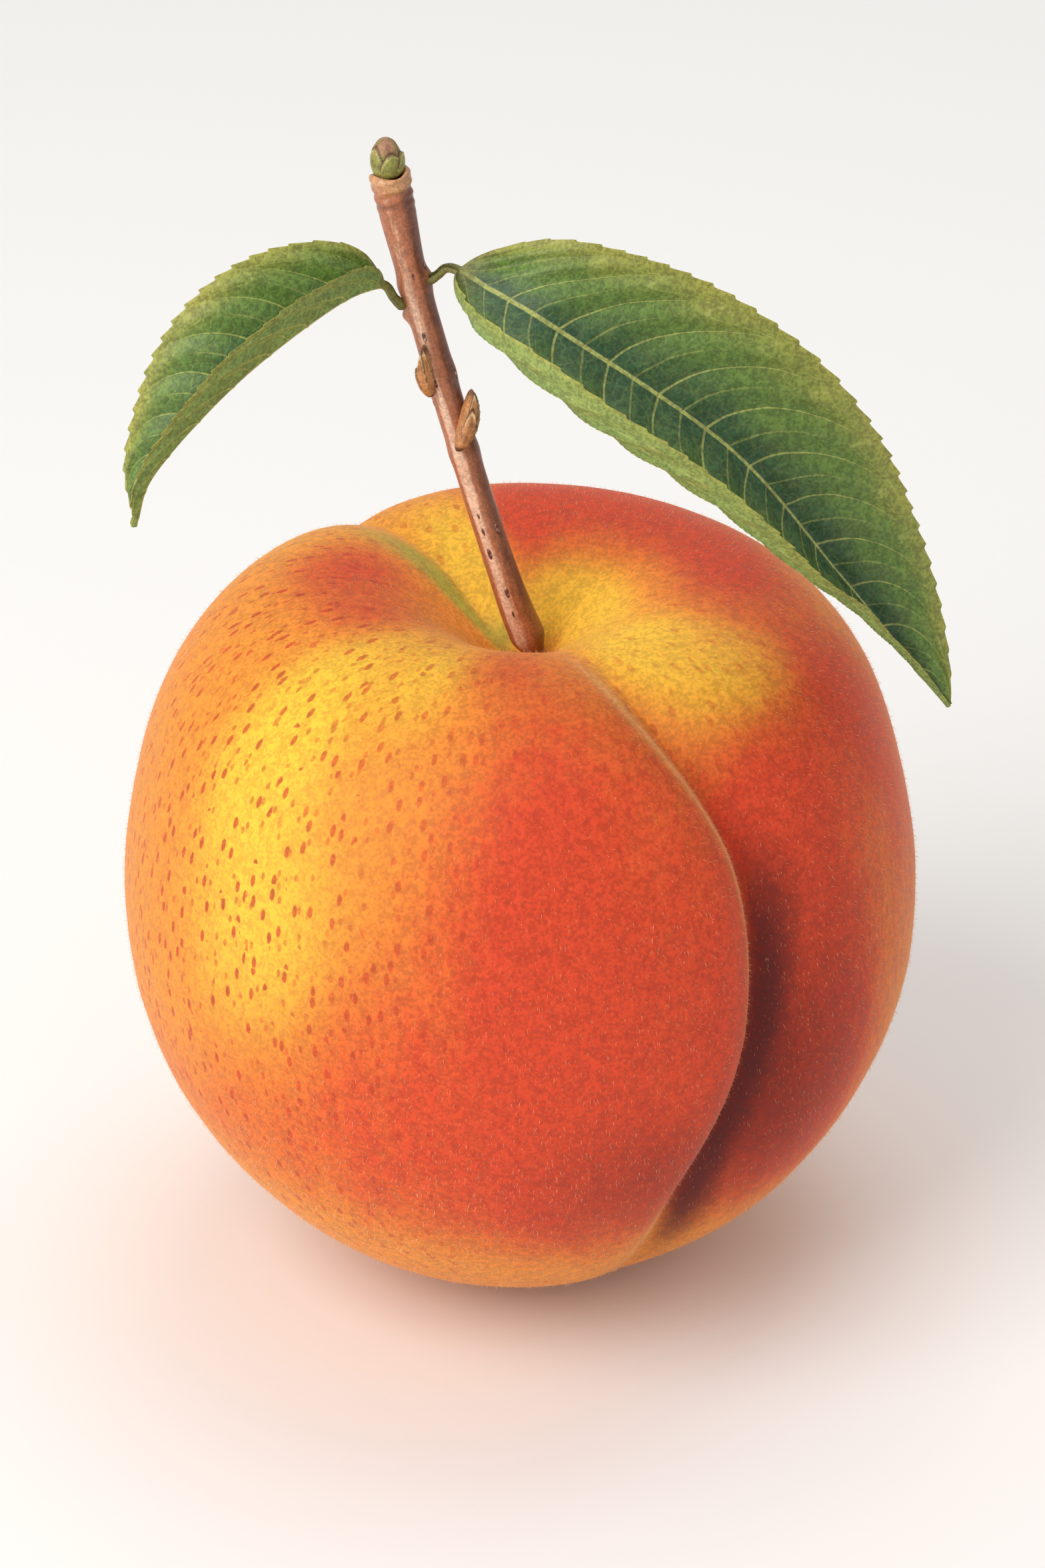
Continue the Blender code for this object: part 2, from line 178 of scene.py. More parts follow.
LEFT_LEAF = {
    "path": [(-12, 0.5, 105), (-13.5, -0.5, 107), (-18, -4, 106.5), (-27, -9, 101), (-35, -10.5, 92),
             (-37, -9, 85.5)],
    "petiole": 0.06,
    "far_outline": (8.4, 0.7, 1.2),
    "near_outline": (6.6, 0.7, 1.2),
    "facing": [(0.2, 0, 1), (-0.5, -0.1, 0.8), (-1, -0.1, 0.3)],
    "far_tilt": (72, 66, 54),
    "far_curl": (55, 62, 50),
    "near_tilt": (60, 36, 36),
    "near_curl": (80, 60, 45),
    "curl_power": 1.6,
    "teeth": 22,
    "veins": 8.0,
}


# ---------------------------------------------------------------- Settings

def colour_setting(name, description, default):
    return bpy.props.FloatVectorProperty(name=name, description=description, subtype="COLOR", size=3,
                                         min=0, max=1, default=default)


def amount_setting(name, description, default):
    return bpy.props.FloatProperty(name=name, description=description, default=default, min=0)


def length_setting(name, description, default):
    return bpy.props.FloatProperty(name=name, description=description, default=default, min=0,
                                   precision=5, subtype="DISTANCE", unit="LENGTH")


class FruitSettings(bpy.types.PropertyGroup):
    columns: bpy.props.IntProperty(name="Columns", description="Faces round the fruit", default=440, min=48)
    rows: bpy.props.IntProperty(name="Rows", description="Faces from the twig end down", default=200, min=24)
    orange: colour_setting("Orange", "Ground colour of the skin", (0.80, 0.27, 0.030))
    gold: colour_setting("Gold", "Brightest ground colour, away from the blush", (0.88, 0.50, 0.040))
    olive: colour_setting("Olive", "Ground colour in the cleft and the cavity", (0.42, 0.36, 0.045))
    red: colour_setting("Red", "Blush on the sunny side", (0.64, 0.050, 0.018))
    # This dark red is also the colour of the painted shade on the lower front and in the cleft.
    dark_red_and_shade: colour_setting("Deep red", "Darkest blush", (0.24, 0.019, 0.009))
    # Painted shadow in the crease of the cleft, behind the lip
    cleft_shadow: colour_setting("Fold", "Bottom of the cleft, behind the lip", (0.060, 0.008, 0.010))
    # Painted sheen: the pale band along the edge of the front lobe's lip
    lip: colour_setting("Lip", "Pale edge of the front lobe", (0.86, 0.40, 0.13))
    fuzz_colour: colour_setting("Fuzz", "Pale fuzz on the skin", (0.95, 0.62, 0.42))
    speckle_spacing: length_setting("Speckle spacing", "Distance between the red dashes", 2.7 * MM)
    fuzz_density: amount_setting("Fuzz density", "Hairs on each square metre of skin", 1.7e6)
    fuzz_length: length_setting("Fuzz length", "Length of a hair", 0.45 * MM)
    fuzz_width: length_setting("Fuzz width", "Thickness of a hair at its root", 0.035 * MM)


class TwigSettings(bpy.types.PropertyGroup):
    rings: bpy.props.IntProperty(name="Rings", description="Rings along the twig", default=300, min=40)
    sides: bpy.props.IntProperty(name="Sides", description="Faces round the twig", default=64, min=16)
    bark: colour_setting("Bark", "Reddish brown of the young bark", (0.42, 0.140, 0.060))
    # Pale bark also paints the highlight down the twig's lit side
    pale_bark_and_highlight: colour_setting("Pale bark", "Streaks and edges of the bark", (0.80, 0.52, 0.37))
    # Dark bark also paints the shade down the twig's far side, in the cup, under the collar and at the foot
    dark_bark_and_shade: colour_setting("Dark bark", "Cracks and pores of the bark", (0.12, 0.034, 0.022))
    collar: colour_setting("Collar", "Tan lip under the end bud and leaf cushions", (0.60, 0.31, 0.14))
    pore_density: amount_setting("Pore density", "Pores on each square metre of bark", 4.5e4)


class BudSettings(bpy.types.PropertyGroup):
    green: colour_setting("Green scale", "Living scales of the end bud", (0.27, 0.27, 0.055))
    green_edge: colour_setting("Green edge", "Pale edges of the living scales", (0.46, 0.44, 0.14))
    cap: colour_setting("Cap", "Dry tip of the end bud", (0.36, 0.17, 0.10))
    tan: colour_setting("Tan scale", "Dry scales", (0.56, 0.24, 0.085))
    tan_edge: colour_setting("Tan edge", "Pale edges of the dry scales", (0.82, 0.56, 0.30))
    brown: colour_setting("Brown seam", "Seams and tips of the scales", (0.11, 0.034, 0.018))


class LeafSettings(bpy.types.PropertyGroup):
    stations: bpy.props.IntProperty(name="Stations", description="Rings along a leaf", default=340, min=40)
    across: bpy.props.IntProperty(name="Across", description="Faces between margins", default=72, min=12)
    thickness: length_setting("Thickness", "Thickness of the blade", 0.26 * MM)
    # Painted shade: the blade is darker beside the midrib
    dark: colour_setting("Dark green", "Upper side beside the midrib", (0.034, 0.095, 0.040))
    green: colour_setting("Green", "Upper side of the blade", (0.125, 0.215, 0.042))
    margin: colour_setting("Margin", "Yellow-green margin", (0.34, 0.32, 0.060))
    vein: colour_setting("Vein", "Midrib and side veins", (0.44, 0.46, 0.130))
    under: colour_setting("Underside", "Paler underside", (0.200, 0.310, 0.085))
    petiole: colour_setting("Petiole", "Brownish petiole", (0.170, 0.165, 0.045))


class StageSettings(bpy.types.PropertyGroup):
    elevation: bpy.props.FloatProperty(name="Camera elevation", description="Angle above the floor",
                                       default=math.radians(30), subtype="ANGLE", unit="ROTATION")
    lens: bpy.props.FloatProperty(name="Lens", description="Focal length in millimetres", default=135, min=20)
    distance: length_setting("Camera distance", "From the camera to the middle of the view", 594.9 * MM)
    floor: colour_setting("Floor", "Plain pale floor", (0.93, 0.93, 0.92))


# ---------------------------------------------------------------- Shared geometry

def along_spline(points, count):
    """count points, evenly spaced along a smooth curve through points given in millimetres."""
    knots = np.array(points, float) * MM
    padded = np.vstack([2 * knots[0] - knots[1], knots, 2 * knots[-1] - knots[-2]])
    dense = []
    for a, b, c, d in zip(padded, padded[1:], padded[2:], padded[3:]):
        t = np.linspace(0, 1, 40, endpoint=False)[:, None]
        dense.append(0.5 * (2 * b + (c - a) * t + (2 * a - 5 * b + 4 * c - d) * t**2
                            + (3 * b - a - 3 * c + d) * t**3))
    dense = np.vstack(dense + [knots[-1:]])
    travelled = np.concatenate([[0], np.cumsum(np.linalg.norm(np.diff(dense, axis=0), axis=1))])
    wanted = np.linspace(0, travelled[-1], count)
    return np.stack([np.interp(wanted, travelled, dense[:, k]) for k in range(3)], 1)


def unit(vectors):
    return vectors / np.maximum(np.linalg.norm(vectors, axis=-1, keepdims=True), 1e-12)


def ease(value, start, end):
    """0 at start and 1 at end, with a smooth rise between them."""
    t = np.clip((value - start) / (end - start), 0, 1)
    return t * t * (3 - 2 * t)


def read_curve(knots, at):
    """Reads a smooth curve through knots, each a place and a value or a vector, at each place in at."""
    places = np.array([knot[0] for knot in knots], float)
    values = np.array([knot[1] for knot in knots], float)
    slopes = np.gradient(values, places, axis=0)
    low = np.clip(np.searchsorted(places, at, side="right") - 1, 0, len(places) - 2)
    span = places[low + 1] - places[low]
    t = (at - places[low]) / span
    if values.ndim > 1:
        t, span = t[:, None], span[:, None]
    return ((2 * t**3 - 3 * t**2 + 1) * values[low] + (t**3 - 2 * t**2 + t) * span * slopes[low]
            + (3 * t**2 - 2 * t**3) * values[low + 1] + (t**3 - t**2) * span * slopes[low + 1])


def soft_noise(points, cell, seed):
    """Smooth noise from -1 to 1 at each point, with lumps about one cell wide."""
    place = points / cell
    base = np.floor(place).astype(np.int64)
    t = place - base
    t = t * t * (3 - 2 * t)
    total = np.zeros(points.shape[:-1])
    for corner in np.ndindex(2, 2, 2):
        key = (base + np.array(corner)) @ np.array([374761393, 668265263, 2147483647]) + seed * 1274126177
        key = (key ^ (key >> 13)) * 1274126177 & 0x7FFFFFFF
        value = (key ^ (key >> 16)) / 0x3FFFFFFF - 1.0
        weight = np.prod(np.where(np.array(corner) == 1, t, 1 - t), axis=-1)
        total += value * weight
    return total


def ring_faces(rings, sides):
    """Quads between neighbouring rings, and a fan at each end to the two points that follow the rings."""
    ring, side = np.meshgrid(np.arange(rings - 1), np.arange(sides), indexing="ij")
    after = (side + 1) % sides
    quads = np.stack([ring * sides + side, ring * sides + after, (ring + 1) * sides + after,
                      (ring + 1) * sides + side], -1).reshape(-1, 4).tolist()
    first, last, top = rings * sides, rings * sides + 1, (rings - 1) * sides
    for j in range(sides):
        k = (j + 1) % sides
        quads.append((first, k, j))
        quads.append((last, top + j, top + k))
    return quads


def make_piece(name, rings, ends, material):
    """A closed, smooth-shaded mesh through rings of points, with a pole at each end."""
    count, sides = rings.shape[:2]
    points = np.vstack([rings.reshape(-1, 3), ends])
    mesh = bpy.data.meshes.new(name)
    mesh.from_pydata(points.tolist(), [], ring_faces(count, sides))
    solid = bmesh.new()
    solid.from_mesh(mesh)
    bmesh.ops.recalc_face_normals(solid, faces=solid.faces)
    solid.to_mesh(mesh)
    solid.free()
    mesh.materials.append(material)
    mesh.shade_smooth()
    piece = bpy.data.objects.new(name, mesh)
    bpy.context.scene.collection.objects.link(piece)
    return piece


def store_numbers(piece, name, values, ends):
    """Stores one number for each point, with the values at the two poles last."""
    attribute = piece.data.attributes.new(name, "FLOAT", "POINT")
    attribute.data.foreach_set("value", np.concatenate([values.ravel(), ends]).astype(np.float32))


def store_vectors(piece, name, values, ends):
    attribute = piece.data.attributes.new(name, "FLOAT_VECTOR", "POINT")
    attribute.data.foreach_set("vector", np.vstack([values.reshape(-1, 3), ends]).astype(np.float32).ravel())


def attach(piece, node):
    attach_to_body(piece, ROOT)
    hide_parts(node)


# ---------------------------------------------------------------- Shader nodes

def put(tree, kind, inputs=None, **settings):
    """Adds a node. An input that is a socket is linked, and any other is set on the node's own socket."""
    node = tree.nodes.new(kind)
    for name, value in settings.items():
        setattr(node, name, value)
    for key, value in (inputs or {}).items():
        if isinstance(value, bpy.types.NodeSocket):
            tree.links.new(value, node.inputs[key])
        else:
            node.inputs[key].default_value = value
    return node


def calc(tree, operation, *values):
    node = put(tree, "ShaderNodeMath", dict(enumerate(values)), operation=operation)
    return node.outputs[0]


def times(tree, first, second):
    return calc(tree, "MULTIPLY", first, second)


def plus(tree, first, second):
    return calc(tree, "ADD", first, second)


def minus(tree, first, second):
    return calc(tree, "SUBTRACT", first, second)


def divided(tree, first, second):
    return calc(tree, "DIVIDE", first, second)


def times_plus(tree, value, factor, added):
    return calc(tree, "MULTIPLY_ADD", value, factor, added)


def vector_calc(tree, operation, *values):
    node = put(tree, "ShaderNodeVectorMath", dict(enumerate(values)), operation=operation)
    return node.outputs["Value" if operation in ("DOT_PRODUCT", "LENGTH") else "Vector"]


def between(tree, value, low, high, out_low=0.0, out_high=1.0):
    """A smooth step of value from low to high, clamped outside."""
    limits = {"Value": value, "From Min": low, "From Max": high, "To Min": out_low, "To Max": out_high}
    return put(tree, "ShaderNodeMapRange", limits, interpolation_type="SMOOTHSTEP").outputs["Result"]


def blend_colour(tree, amount, first, second):
    """Mixes two colours. A colour can be a socket or three numbers."""
    node = put(tree, "ShaderNodeMix", {0: amount}, data_type="RGBA", clamp_factor=True)
    for key, colour in ((6, first), (7, second)):
        if isinstance(colour, bpy.types.NodeSocket):
            tree.links.new(colour, node.inputs[key])
        else:
            node.inputs[key].default_value = (*colour, 1)
    return node.outputs[2]


def read_attribute(tree, name, output="Fac"):
    return put(tree, "ShaderNodeAttribute", attribute_name=name).outputs[output]


def noise(tree, vector, scale, detail=3.0, roughness=0.55, distortion=0.0):
    return put(tree, "ShaderNodeTexNoise", {"Vector": vector, "Scale": scale, "Detail": detail,
                                            "Roughness": roughness, "Distortion": distortion}).outputs["Fac"]


def new_material(name):
    material = bpy.data.materials.new(name)
    material.use_nodes = True
    tree = material.node_tree
    tree.nodes.clear()
    shader = put(tree, "ShaderNodeBsdfPrincipled")
    put(tree, "ShaderNodeOutputMaterial", {"Surface": shader.outputs[0]})
    return material, tree, shader


def new_group(name, inputs, outputs):
    """A shader node group. inputs are name, kind and default, and outputs are name and kind."""
    tree = bpy.data.node_groups.new(name, "ShaderNodeTree")
    for title, kind, default in inputs:
        socket = tree.interface.new_socket(title, in_out="INPUT", socket_type=kind)
        if default is not None:
            socket.default_value = default
    for title, kind in outputs:
        tree.interface.new_socket(title, in_out="OUTPUT", socket_type=kind)
    return tree, put(tree, "NodeGroupInput"), put(tree, "NodeGroupOutput")


def use_group(tree, name, inputs):
    return put(tree, "ShaderNodeGroup", inputs, node_tree=bpy.data.node_groups[name])


def build_stipple_group():
    """Fine grain: small light and dark dots on a colour, and a height for the bump."""
    tree, given, out = new_group(
        "fine_stipple",
        [("Colour", "NodeSocketColor", (0.5, 0.5, 0.5, 1)), ("Vector", "NodeSocketVector", None),
         ("Dots per metre", "NodeSocketFloat", 3000.0), ("Strength", "NodeSocketFloat", 0.2)],
        [("Colour", "NodeSocketColor"), ("Height", "NodeSocketFloat")])
    fine = noise(tree, given.outputs["Vector"], given.outputs["Dots per metre"], 2.0, 0.6)
    coarse_scale = times(tree, given.outputs["Dots per metre"], 0.37)
    coarse = noise(tree, given.outputs["Vector"], coarse_scale, 1.0, 0.5)
    height = times_plus(tree, coarse, 0.35, times(tree, fine, 0.65))
    swing = minus(tree, between(tree, height, 0.38, 0.62), 0.5)
    gain = times_plus(tree, swing, given.outputs["Strength"], 1.0)
    colour = vector_calc(tree, "SCALE", given.outputs["Colour"])
    tree.links.new(gain, colour.node.inputs["Scale"])
    tree.links.new(colour, out.inputs["Colour"])
    tree.links.new(height, out.inputs["Height"])


def set_bump(tree, shader, height, strength, distance):
    bump = put(tree, "ShaderNodeBump", {"Height": height, "Strength": strength, "Distance": distance})
    tree.links.new(bump.outputs["Normal"], shader.inputs["Normal"])


# ---------------------------------------------------------------- Fruit

def fruit_radius(polar, around):
    """Distance from the fruit's centre to its skin, in each direction."""
    shoulder = SHOULDER_RISE * np.exp(-((polar - SHOULDER_POLAR) / SHOULDER_SPREAD) ** 2)
    tip = TIP_RISE * ease(polar, *TIP_ANGLES)
    cavity = CAVITY_DEPTH * np.exp(-(polar / CAVITY_SPREAD) ** CAVITY_POWER)
    plump = FRUIT_RADIUS + shoulder + tip - cavity
    fade_out = 1 - ease(polar, *CLEFT_END)
    turn = around - np.radians(read_curve(SUTURE_PATH, np.degrees(polar)))
    offset = plump * np.sin(polar) * np.sin(turn)
    lip = np.exp(-(np.abs(offset) / CLEFT_LIP_WIDTH) ** CLEFT_LIP_POWER)
    far_wall = np.exp(-(np.abs(offset) / CLEFT_FAR_WIDTH) ** CLEFT_FAR_POWER)
    front = CLEFT_DEPTH * ease(polar, *CLEFT_START) * np.where(offset < 0, lip, far_wall)
    front = front * ease(np.cos(turn), *HALF_FRUIT)
    turn = around - SUTURE_DIRECTION - math.pi
    offset = plump * np.sin(polar) * np.sin(turn)
    back = BACK_CLEFT_DEPTH * ease(polar, *BACK_CLEFT_START)
    back = back * (1 - BACK_CLEFT_FADE * ease(polar, *BACK_CLEFT_FADE_ANGLES))
    back = back * np.exp(-(np.abs(offset) / BACK_CLEFT_WIDTH) ** CLEFT_FAR_POWER)
    back = back * ease(np.cos(turn), *HALF_FRUIT)
    return plump - (front + back) * fade_out


def fruit_points(polar, around, swell=0.0):
    radius = fruit_radius(polar, around) + swell
    level = radius * np.cos(polar) + CENTRE_HEIGHT
    return np.stack([radius * np.sin(polar) * np.cos(around),
                     radius * np.sin(polar) * np.sin(around),
                     np.maximum(level, FRUIT_LOW[2])], -1)


def spot_mask(polar, around, spots):
    """Soft spots laid over each other, from 0 to 1."""
    clear = np.ones(np.broadcast(polar, around).shape)
    for direction, height, half_width, half_height, strength in spots:
        turn = np.degrees(around) - direction
        turn = (turn + 180) % 360 - 180
        reach = (turn / half_width) ** 2 + ((np.degrees(polar) - height) / half_height) ** 2
        clear *= 1 - strength * np.exp(-reach)
    return 1 - clear


def suture_lines(polar, around):
    """The lip of the front lobe, where a sheen is painted, the floor of the cleft, where shade is painted,
    and the crease behind the lip, where a shadow is painted, all from 0 to 1.
    """
    turn = around - np.radians(read_curve(SUTURE_PATH, np.degrees(polar)))
    offset = FRUIT_RADIUS * np.sin(polar) * np.sin(turn)
    front = ease(np.cos(turn), 0.0, 0.2) * (1 - ease(polar, math.radians(120), math.radians(150)))
    # Painted sheen along the edge of the lip
    lip = np.exp(-((offset + 2.1 * MM) / (0.9 * MM)) ** 2) * front
    lip = lip * ease(polar, math.radians(16), math.radians(34))
    # Painted shade on the floor of the cleft, reaching further onto its far wall
    floor = np.exp(-((offset - 1.2 * MM) / np.where(offset > 1.2 * MM, 5.2 * MM, 1.6 * MM)) ** 2)
    # Painted shadow in the crease just behind the lip
    cleft_shadow = np.exp(-((offset - 1.8 * MM) / (2.0 * MM)) ** 2) * front
    cleft_shadow = cleft_shadow * ease(polar, math.radians(58), math.radians(84))
    return lip, floor * front * ease(polar, math.radians(46), math.radians(72)), cleft_shadow


def build_skin_material(settings):
    material, tree, shader = new_material("peach_skin")
    position = put(tree, "ShaderNodeTexCoord").outputs["Object"]
    flow = read_attribute(tree, "flow", "Vector")
    from_centre = vector_calc(tree, "SUBTRACT", position, (0, 0, CENTRE_HEIGHT))

    # Ground colour, from orange through gold and olive
    cloud = noise(tree, flow, 90, 4.0, 0.6, 0.6)
    streak = noise(tree, flow, 800, 5.0, 0.7, 0.3)
    unevenness = minus(tree, times_plus(tree, streak, 0.5, times(tree, cloud, 0.5)), 0.5)

    def broken(mask_name, swing, low, high):
        shifted = times_plus(tree, unevenness, swing, read_attribute(tree, mask_name))
        return between(tree, shifted, low, high)

    colour = blend_colour(tree, broken("gold", 0.6, 0.10, 0.90), settings.orange, settings.gold)
    colour = blend_colour(tree, broken("olive", 0.4, 0.15, 0.95), colour, settings.olive)

    # Blush over it, then painted shade in dark red on the lower front and in the cleft
    red = broken("red", 0.75, 0.12, 0.92)
    colour = blend_colour(tree, times(tree, red, 0.96), colour, settings.red)
    colour = blend_colour(tree, times(tree, broken("dark_red_and_shade", 0.7, 0.15, 1.0), 0.9), colour, settings.dark_red_and_shade)
    # Painted shadow in the crease of the cleft
    colour = blend_colour(tree, times(tree, read_attribute(tree, "cleft_shadow"), 0.7), colour, settings.cleft_shadow)
    # Painted sheen on the edge of the lip
    colour = blend_colour(tree, times(tree, read_attribute(tree, "lip"), 0.85), colour, settings.lip)

    # Dashes that run from the twig end to the tip
    east = vector_calc(tree, "NORMALIZE", vector_calc(tree, "CROSS_PRODUCT", (0, 0, 1), from_centre))
    north = vector_calc(tree, "NORMALIZE", vector_calc(tree, "CROSS_PRODUCT", from_centre, east))
    dash = None
    for spacing, half_length, half_width, share in ((1.0, 0.28, 0.13, 0.22), (0.60, 0.30, 0.17, 0.55)):
        scale = 1 / (settings.speckle_spacing * spacing)
        cells = put(tree, "ShaderNodeTexVoronoi", {"Vector": position, "Scale": scale, "Randomness": 1.0})
        offset = vector_calc(tree, "SUBTRACT", position, cells.outputs["Position"])
        offset = vector_calc(tree, "SCALE", offset)
        offset.node.inputs["Scale"].default_value = scale
        across = divided(tree, vector_calc(tree, "DOT_PRODUCT", offset, east), half_width)
        down = divided(tree, vector_calc(tree, "DOT_PRODUCT", offset, north), half_length)
        reach = calc(tree, "SQRT", plus(tree, times(tree, across, across),
                                        times(tree, down, down)))
        pick = put(tree, "ShaderNodeSeparateColor", {"Color": cells.outputs["Color"]}).outputs["Red"]
        shown = between(tree, pick, share, share + 0.15)
        mark = times(tree, between(tree, reach, 1.0, 0.6), shown)
        dash = mark if dash is None else calc(tree, "MAXIMUM", dash, times(tree, mark, 0.6))
    dash = times(tree, dash, read_attribute(tree, "speckle"))
    colour = blend_colour(tree, times(tree, dash, 0.8), colour, settings.red)
    colour = blend_colour(tree, times(tree, dash, 0.3), colour, settings.dark_red_and_shade)

    grain = use_group(tree, "fine_stipple", {"Colour": colour, "Vector": position, "Dots per metre": 2600.0,
                                             "Strength": 0.34})
    tree.links.new(grain.outputs["Colour"], shader.inputs["Base Color"])
    rough = between(tree, grain.outputs["Height"], 0.3, 0.7, 0.50, 0.72)
    tree.links.new(rough, shader.inputs["Roughness"])
    shader.inputs["Specular IOR Level"].default_value = 0.28
    shader.inputs["Sheen Weight"].default_value = 0.22
    shader.inputs["Sheen Roughness"].default_value = 0.38
    shader.inputs["Sheen Tint"].default_value = (*settings.fuzz_colour, 1)
    set_bump(tree, shader, grain.outputs["Height"], 0.55, 0.12 * MM)
    return material


def build_fruit(settings):
    columns, rows = settings.columns, settings.rows
    step = np.arange(columns) * 2 * math.pi / columns
    around = (SUTURE_DIRECTION + step - COLUMN_CROWDING * np.sin(2 * step) / 2)[None, :]
    polar = (math.pi * (np.arange(1, rows) / rows) ** ROW_CROWDING)[:, None]
    rough = fruit_points(polar, around)
    lumps = LUMP_HEIGHT * soft_noise(rough, 11 * MM, 3) + DIMPLE_HEIGHT * soft_noise(rough, 3.5 * MM, 5)
    rings = fruit_points(polar, around, lumps * np.sin(polar) ** 0.5)
    ends = fruit_points(np.array([0.0, math.pi]), np.zeros(2))
    piece = make_piece("peach_fruit", rings, ends, build_skin_material(settings))
    lip, floor, cleft_shadow = suture_lines(polar, around)
    red = spot_mask(polar, around, RED_SPOTS)
    underside = ease(polar, *UNDERSIDE)
    red = red * (1 - 0.75 * underside)
    # Painted shade: the shade spots, and the floor of the cleft painted dark as shade
    dark_red_and_shade = np.maximum(spot_mask(polar, around, PAINTED_SHADE_SPOTS) * (1 - 0.6 * underside), 0.9 * floor)
    gold = spot_mask(polar, around, GOLD_SPOTS) * (1 - 0.5 * underside)
    olive = spot_mask(polar, around, OLIVE_SPOTS)
    speckle = 0.35 + 0.65 * spot_mask(polar, around, SPECKLE_SPOTS)
    speckle = speckle * ease(polar, math.radians(14), math.radians(26)) * (1 - 0.5 * underside) * (1 - floor)
    for name, values in (("red", red), ("gold", gold), ("olive", olive), ("dark_red_and_shade", dark_red_and_shade), ("lip", lip),
                         ("cleft_shadow", cleft_shadow), ("speckle", speckle)):
        spread = np.broadcast_to(values, rings.shape[:2])
        store_numbers(piece, name, spread, [values[0].mean(), values[-1].mean()])
    flow = FRUIT_RADIUS * np.stack(np.broadcast_arrays(
        np.sin(polar) * np.cos(around), np.sin(polar) * np.sin(around), 0.28 * (polar + 0 * around)), -1)
    store_vectors(piece, "flow", flow, [(0, 0, 0), (0, 0, 0.28 * math.pi * FRUIT_RADIUS)])
    store_numbers(piece, "cover", ease(rings[..., 2], 0.8 * MM, 2.5 * MM), [0, 0])
    down = unit(np.gradient(rings, axis=0))
    store_vectors(piece, "along", down, [(1, 0, 0), (1, 0, 0)])
    return piece


# ---------------------------------------------------------------- Twig

def round_and_along(turn, along, round_scale, along_scale):
    """Points on a straight tube, for noise that must join up where the tube closes."""
    level = along_scale * along[:, None]
    return np.stack([round_scale * np.cos(turn)[None, :] + 0 * level,
                     round_scale * np.sin(turn)[None, :] + 0 * level,
                     level + 0 * turn[None, :]], -1)


def twig_frame(count):
    path = along_spline(TWIG_PATH, count)
    tangent = unit(np.gradient(path, axis=0))
    side = unit(np.cross(np.array([0.0, 1.0, 0.0]), tangent))
    return path, tangent, side, np.cross(tangent, side)


def twig_radius(fraction):
    foot = ease(fraction, 0, TWIG_FOOT_END)
    swell = TWIG_BASE_SWELL * np.exp(-(fraction / TWIG_BASE_REACH) ** 2)
    collar = TWIG_COLLAR_SWELL * ease(fraction, *TWIG_COLLAR)
    nodes = sum(rise * np.exp(-((fraction - place) / TWIG_NODE_REACH) ** 2) for place, rise in TWIG_NODES)
    return TWIG_FOOT_RADIUS * (1 - foot) + foot * (TWIG_RADIUS + swell + collar + nodes)


def build_bark_material(settings):
    material, tree, shader = new_material("young_bark")
    grain = read_attribute(tree, "grain", "Vector")
    position = put(tree, "ShaderNodeTexCoord").outputs["Object"]
    streak = noise(tree, grain, 900, 5.0, 0.7, 0.4)
    fine = noise(tree, grain, 2600, 3.0, 0.6)
    patch = noise(tree, position, 170, 3.0, 0.6)
    # A painted highlight in pale bark down the lit side, broken up by the streaks, then painted shade down
    # the far side
    broken = times_plus(tree, minus(tree, streak, 0.5), 1.6, read_attribute(tree, "pale"))
    colour = blend_colour(tree, between(tree, broken, 0.25, 0.85), settings.bark, settings.pale_bark_and_highlight)
    shaded = times_plus(tree, minus(tree, fine, 0.5), -1.2, read_attribute(tree, "shaded"))
    shadow = times(tree, between(tree, shaded, 0.05, 0.9), 0.85)
    colour = blend_colour(tree, shadow, colour, settings.dark_bark_and_shade)
    colour = blend_colour(tree, times(tree, between(tree, patch, 0.45, 0.7), 0.5), colour, settings.bark)
    # Painted shade in the cup under the end bud, in a ring below the collar's lip and at the foot
    colour = blend_colour(tree, read_attribute(tree, "twig_recess_shade"), colour, settings.dark_bark_and_shade)
    colour = blend_colour(tree, read_attribute(tree, "rim"), colour, settings.collar)
    grained = use_group(tree, "fine_stipple", {"Colour": colour, "Vector": position, "Dots per metre": 4200.0,
                                               "Strength": 0.45})
    tree.links.new(grained.outputs["Colour"], shader.inputs["Base Color"])
    tree.links.new(between(tree, fine, 0.3, 0.7, 0.30, 0.50), shader.inputs["Roughness"])
    shader.inputs["Specular IOR Level"].default_value = 0.6
    height = times_plus(tree, streak, 0.6, times(tree, fine, 0.4))
    set_bump(tree, shader, height, 0.5, 0.10 * MM)
    return material


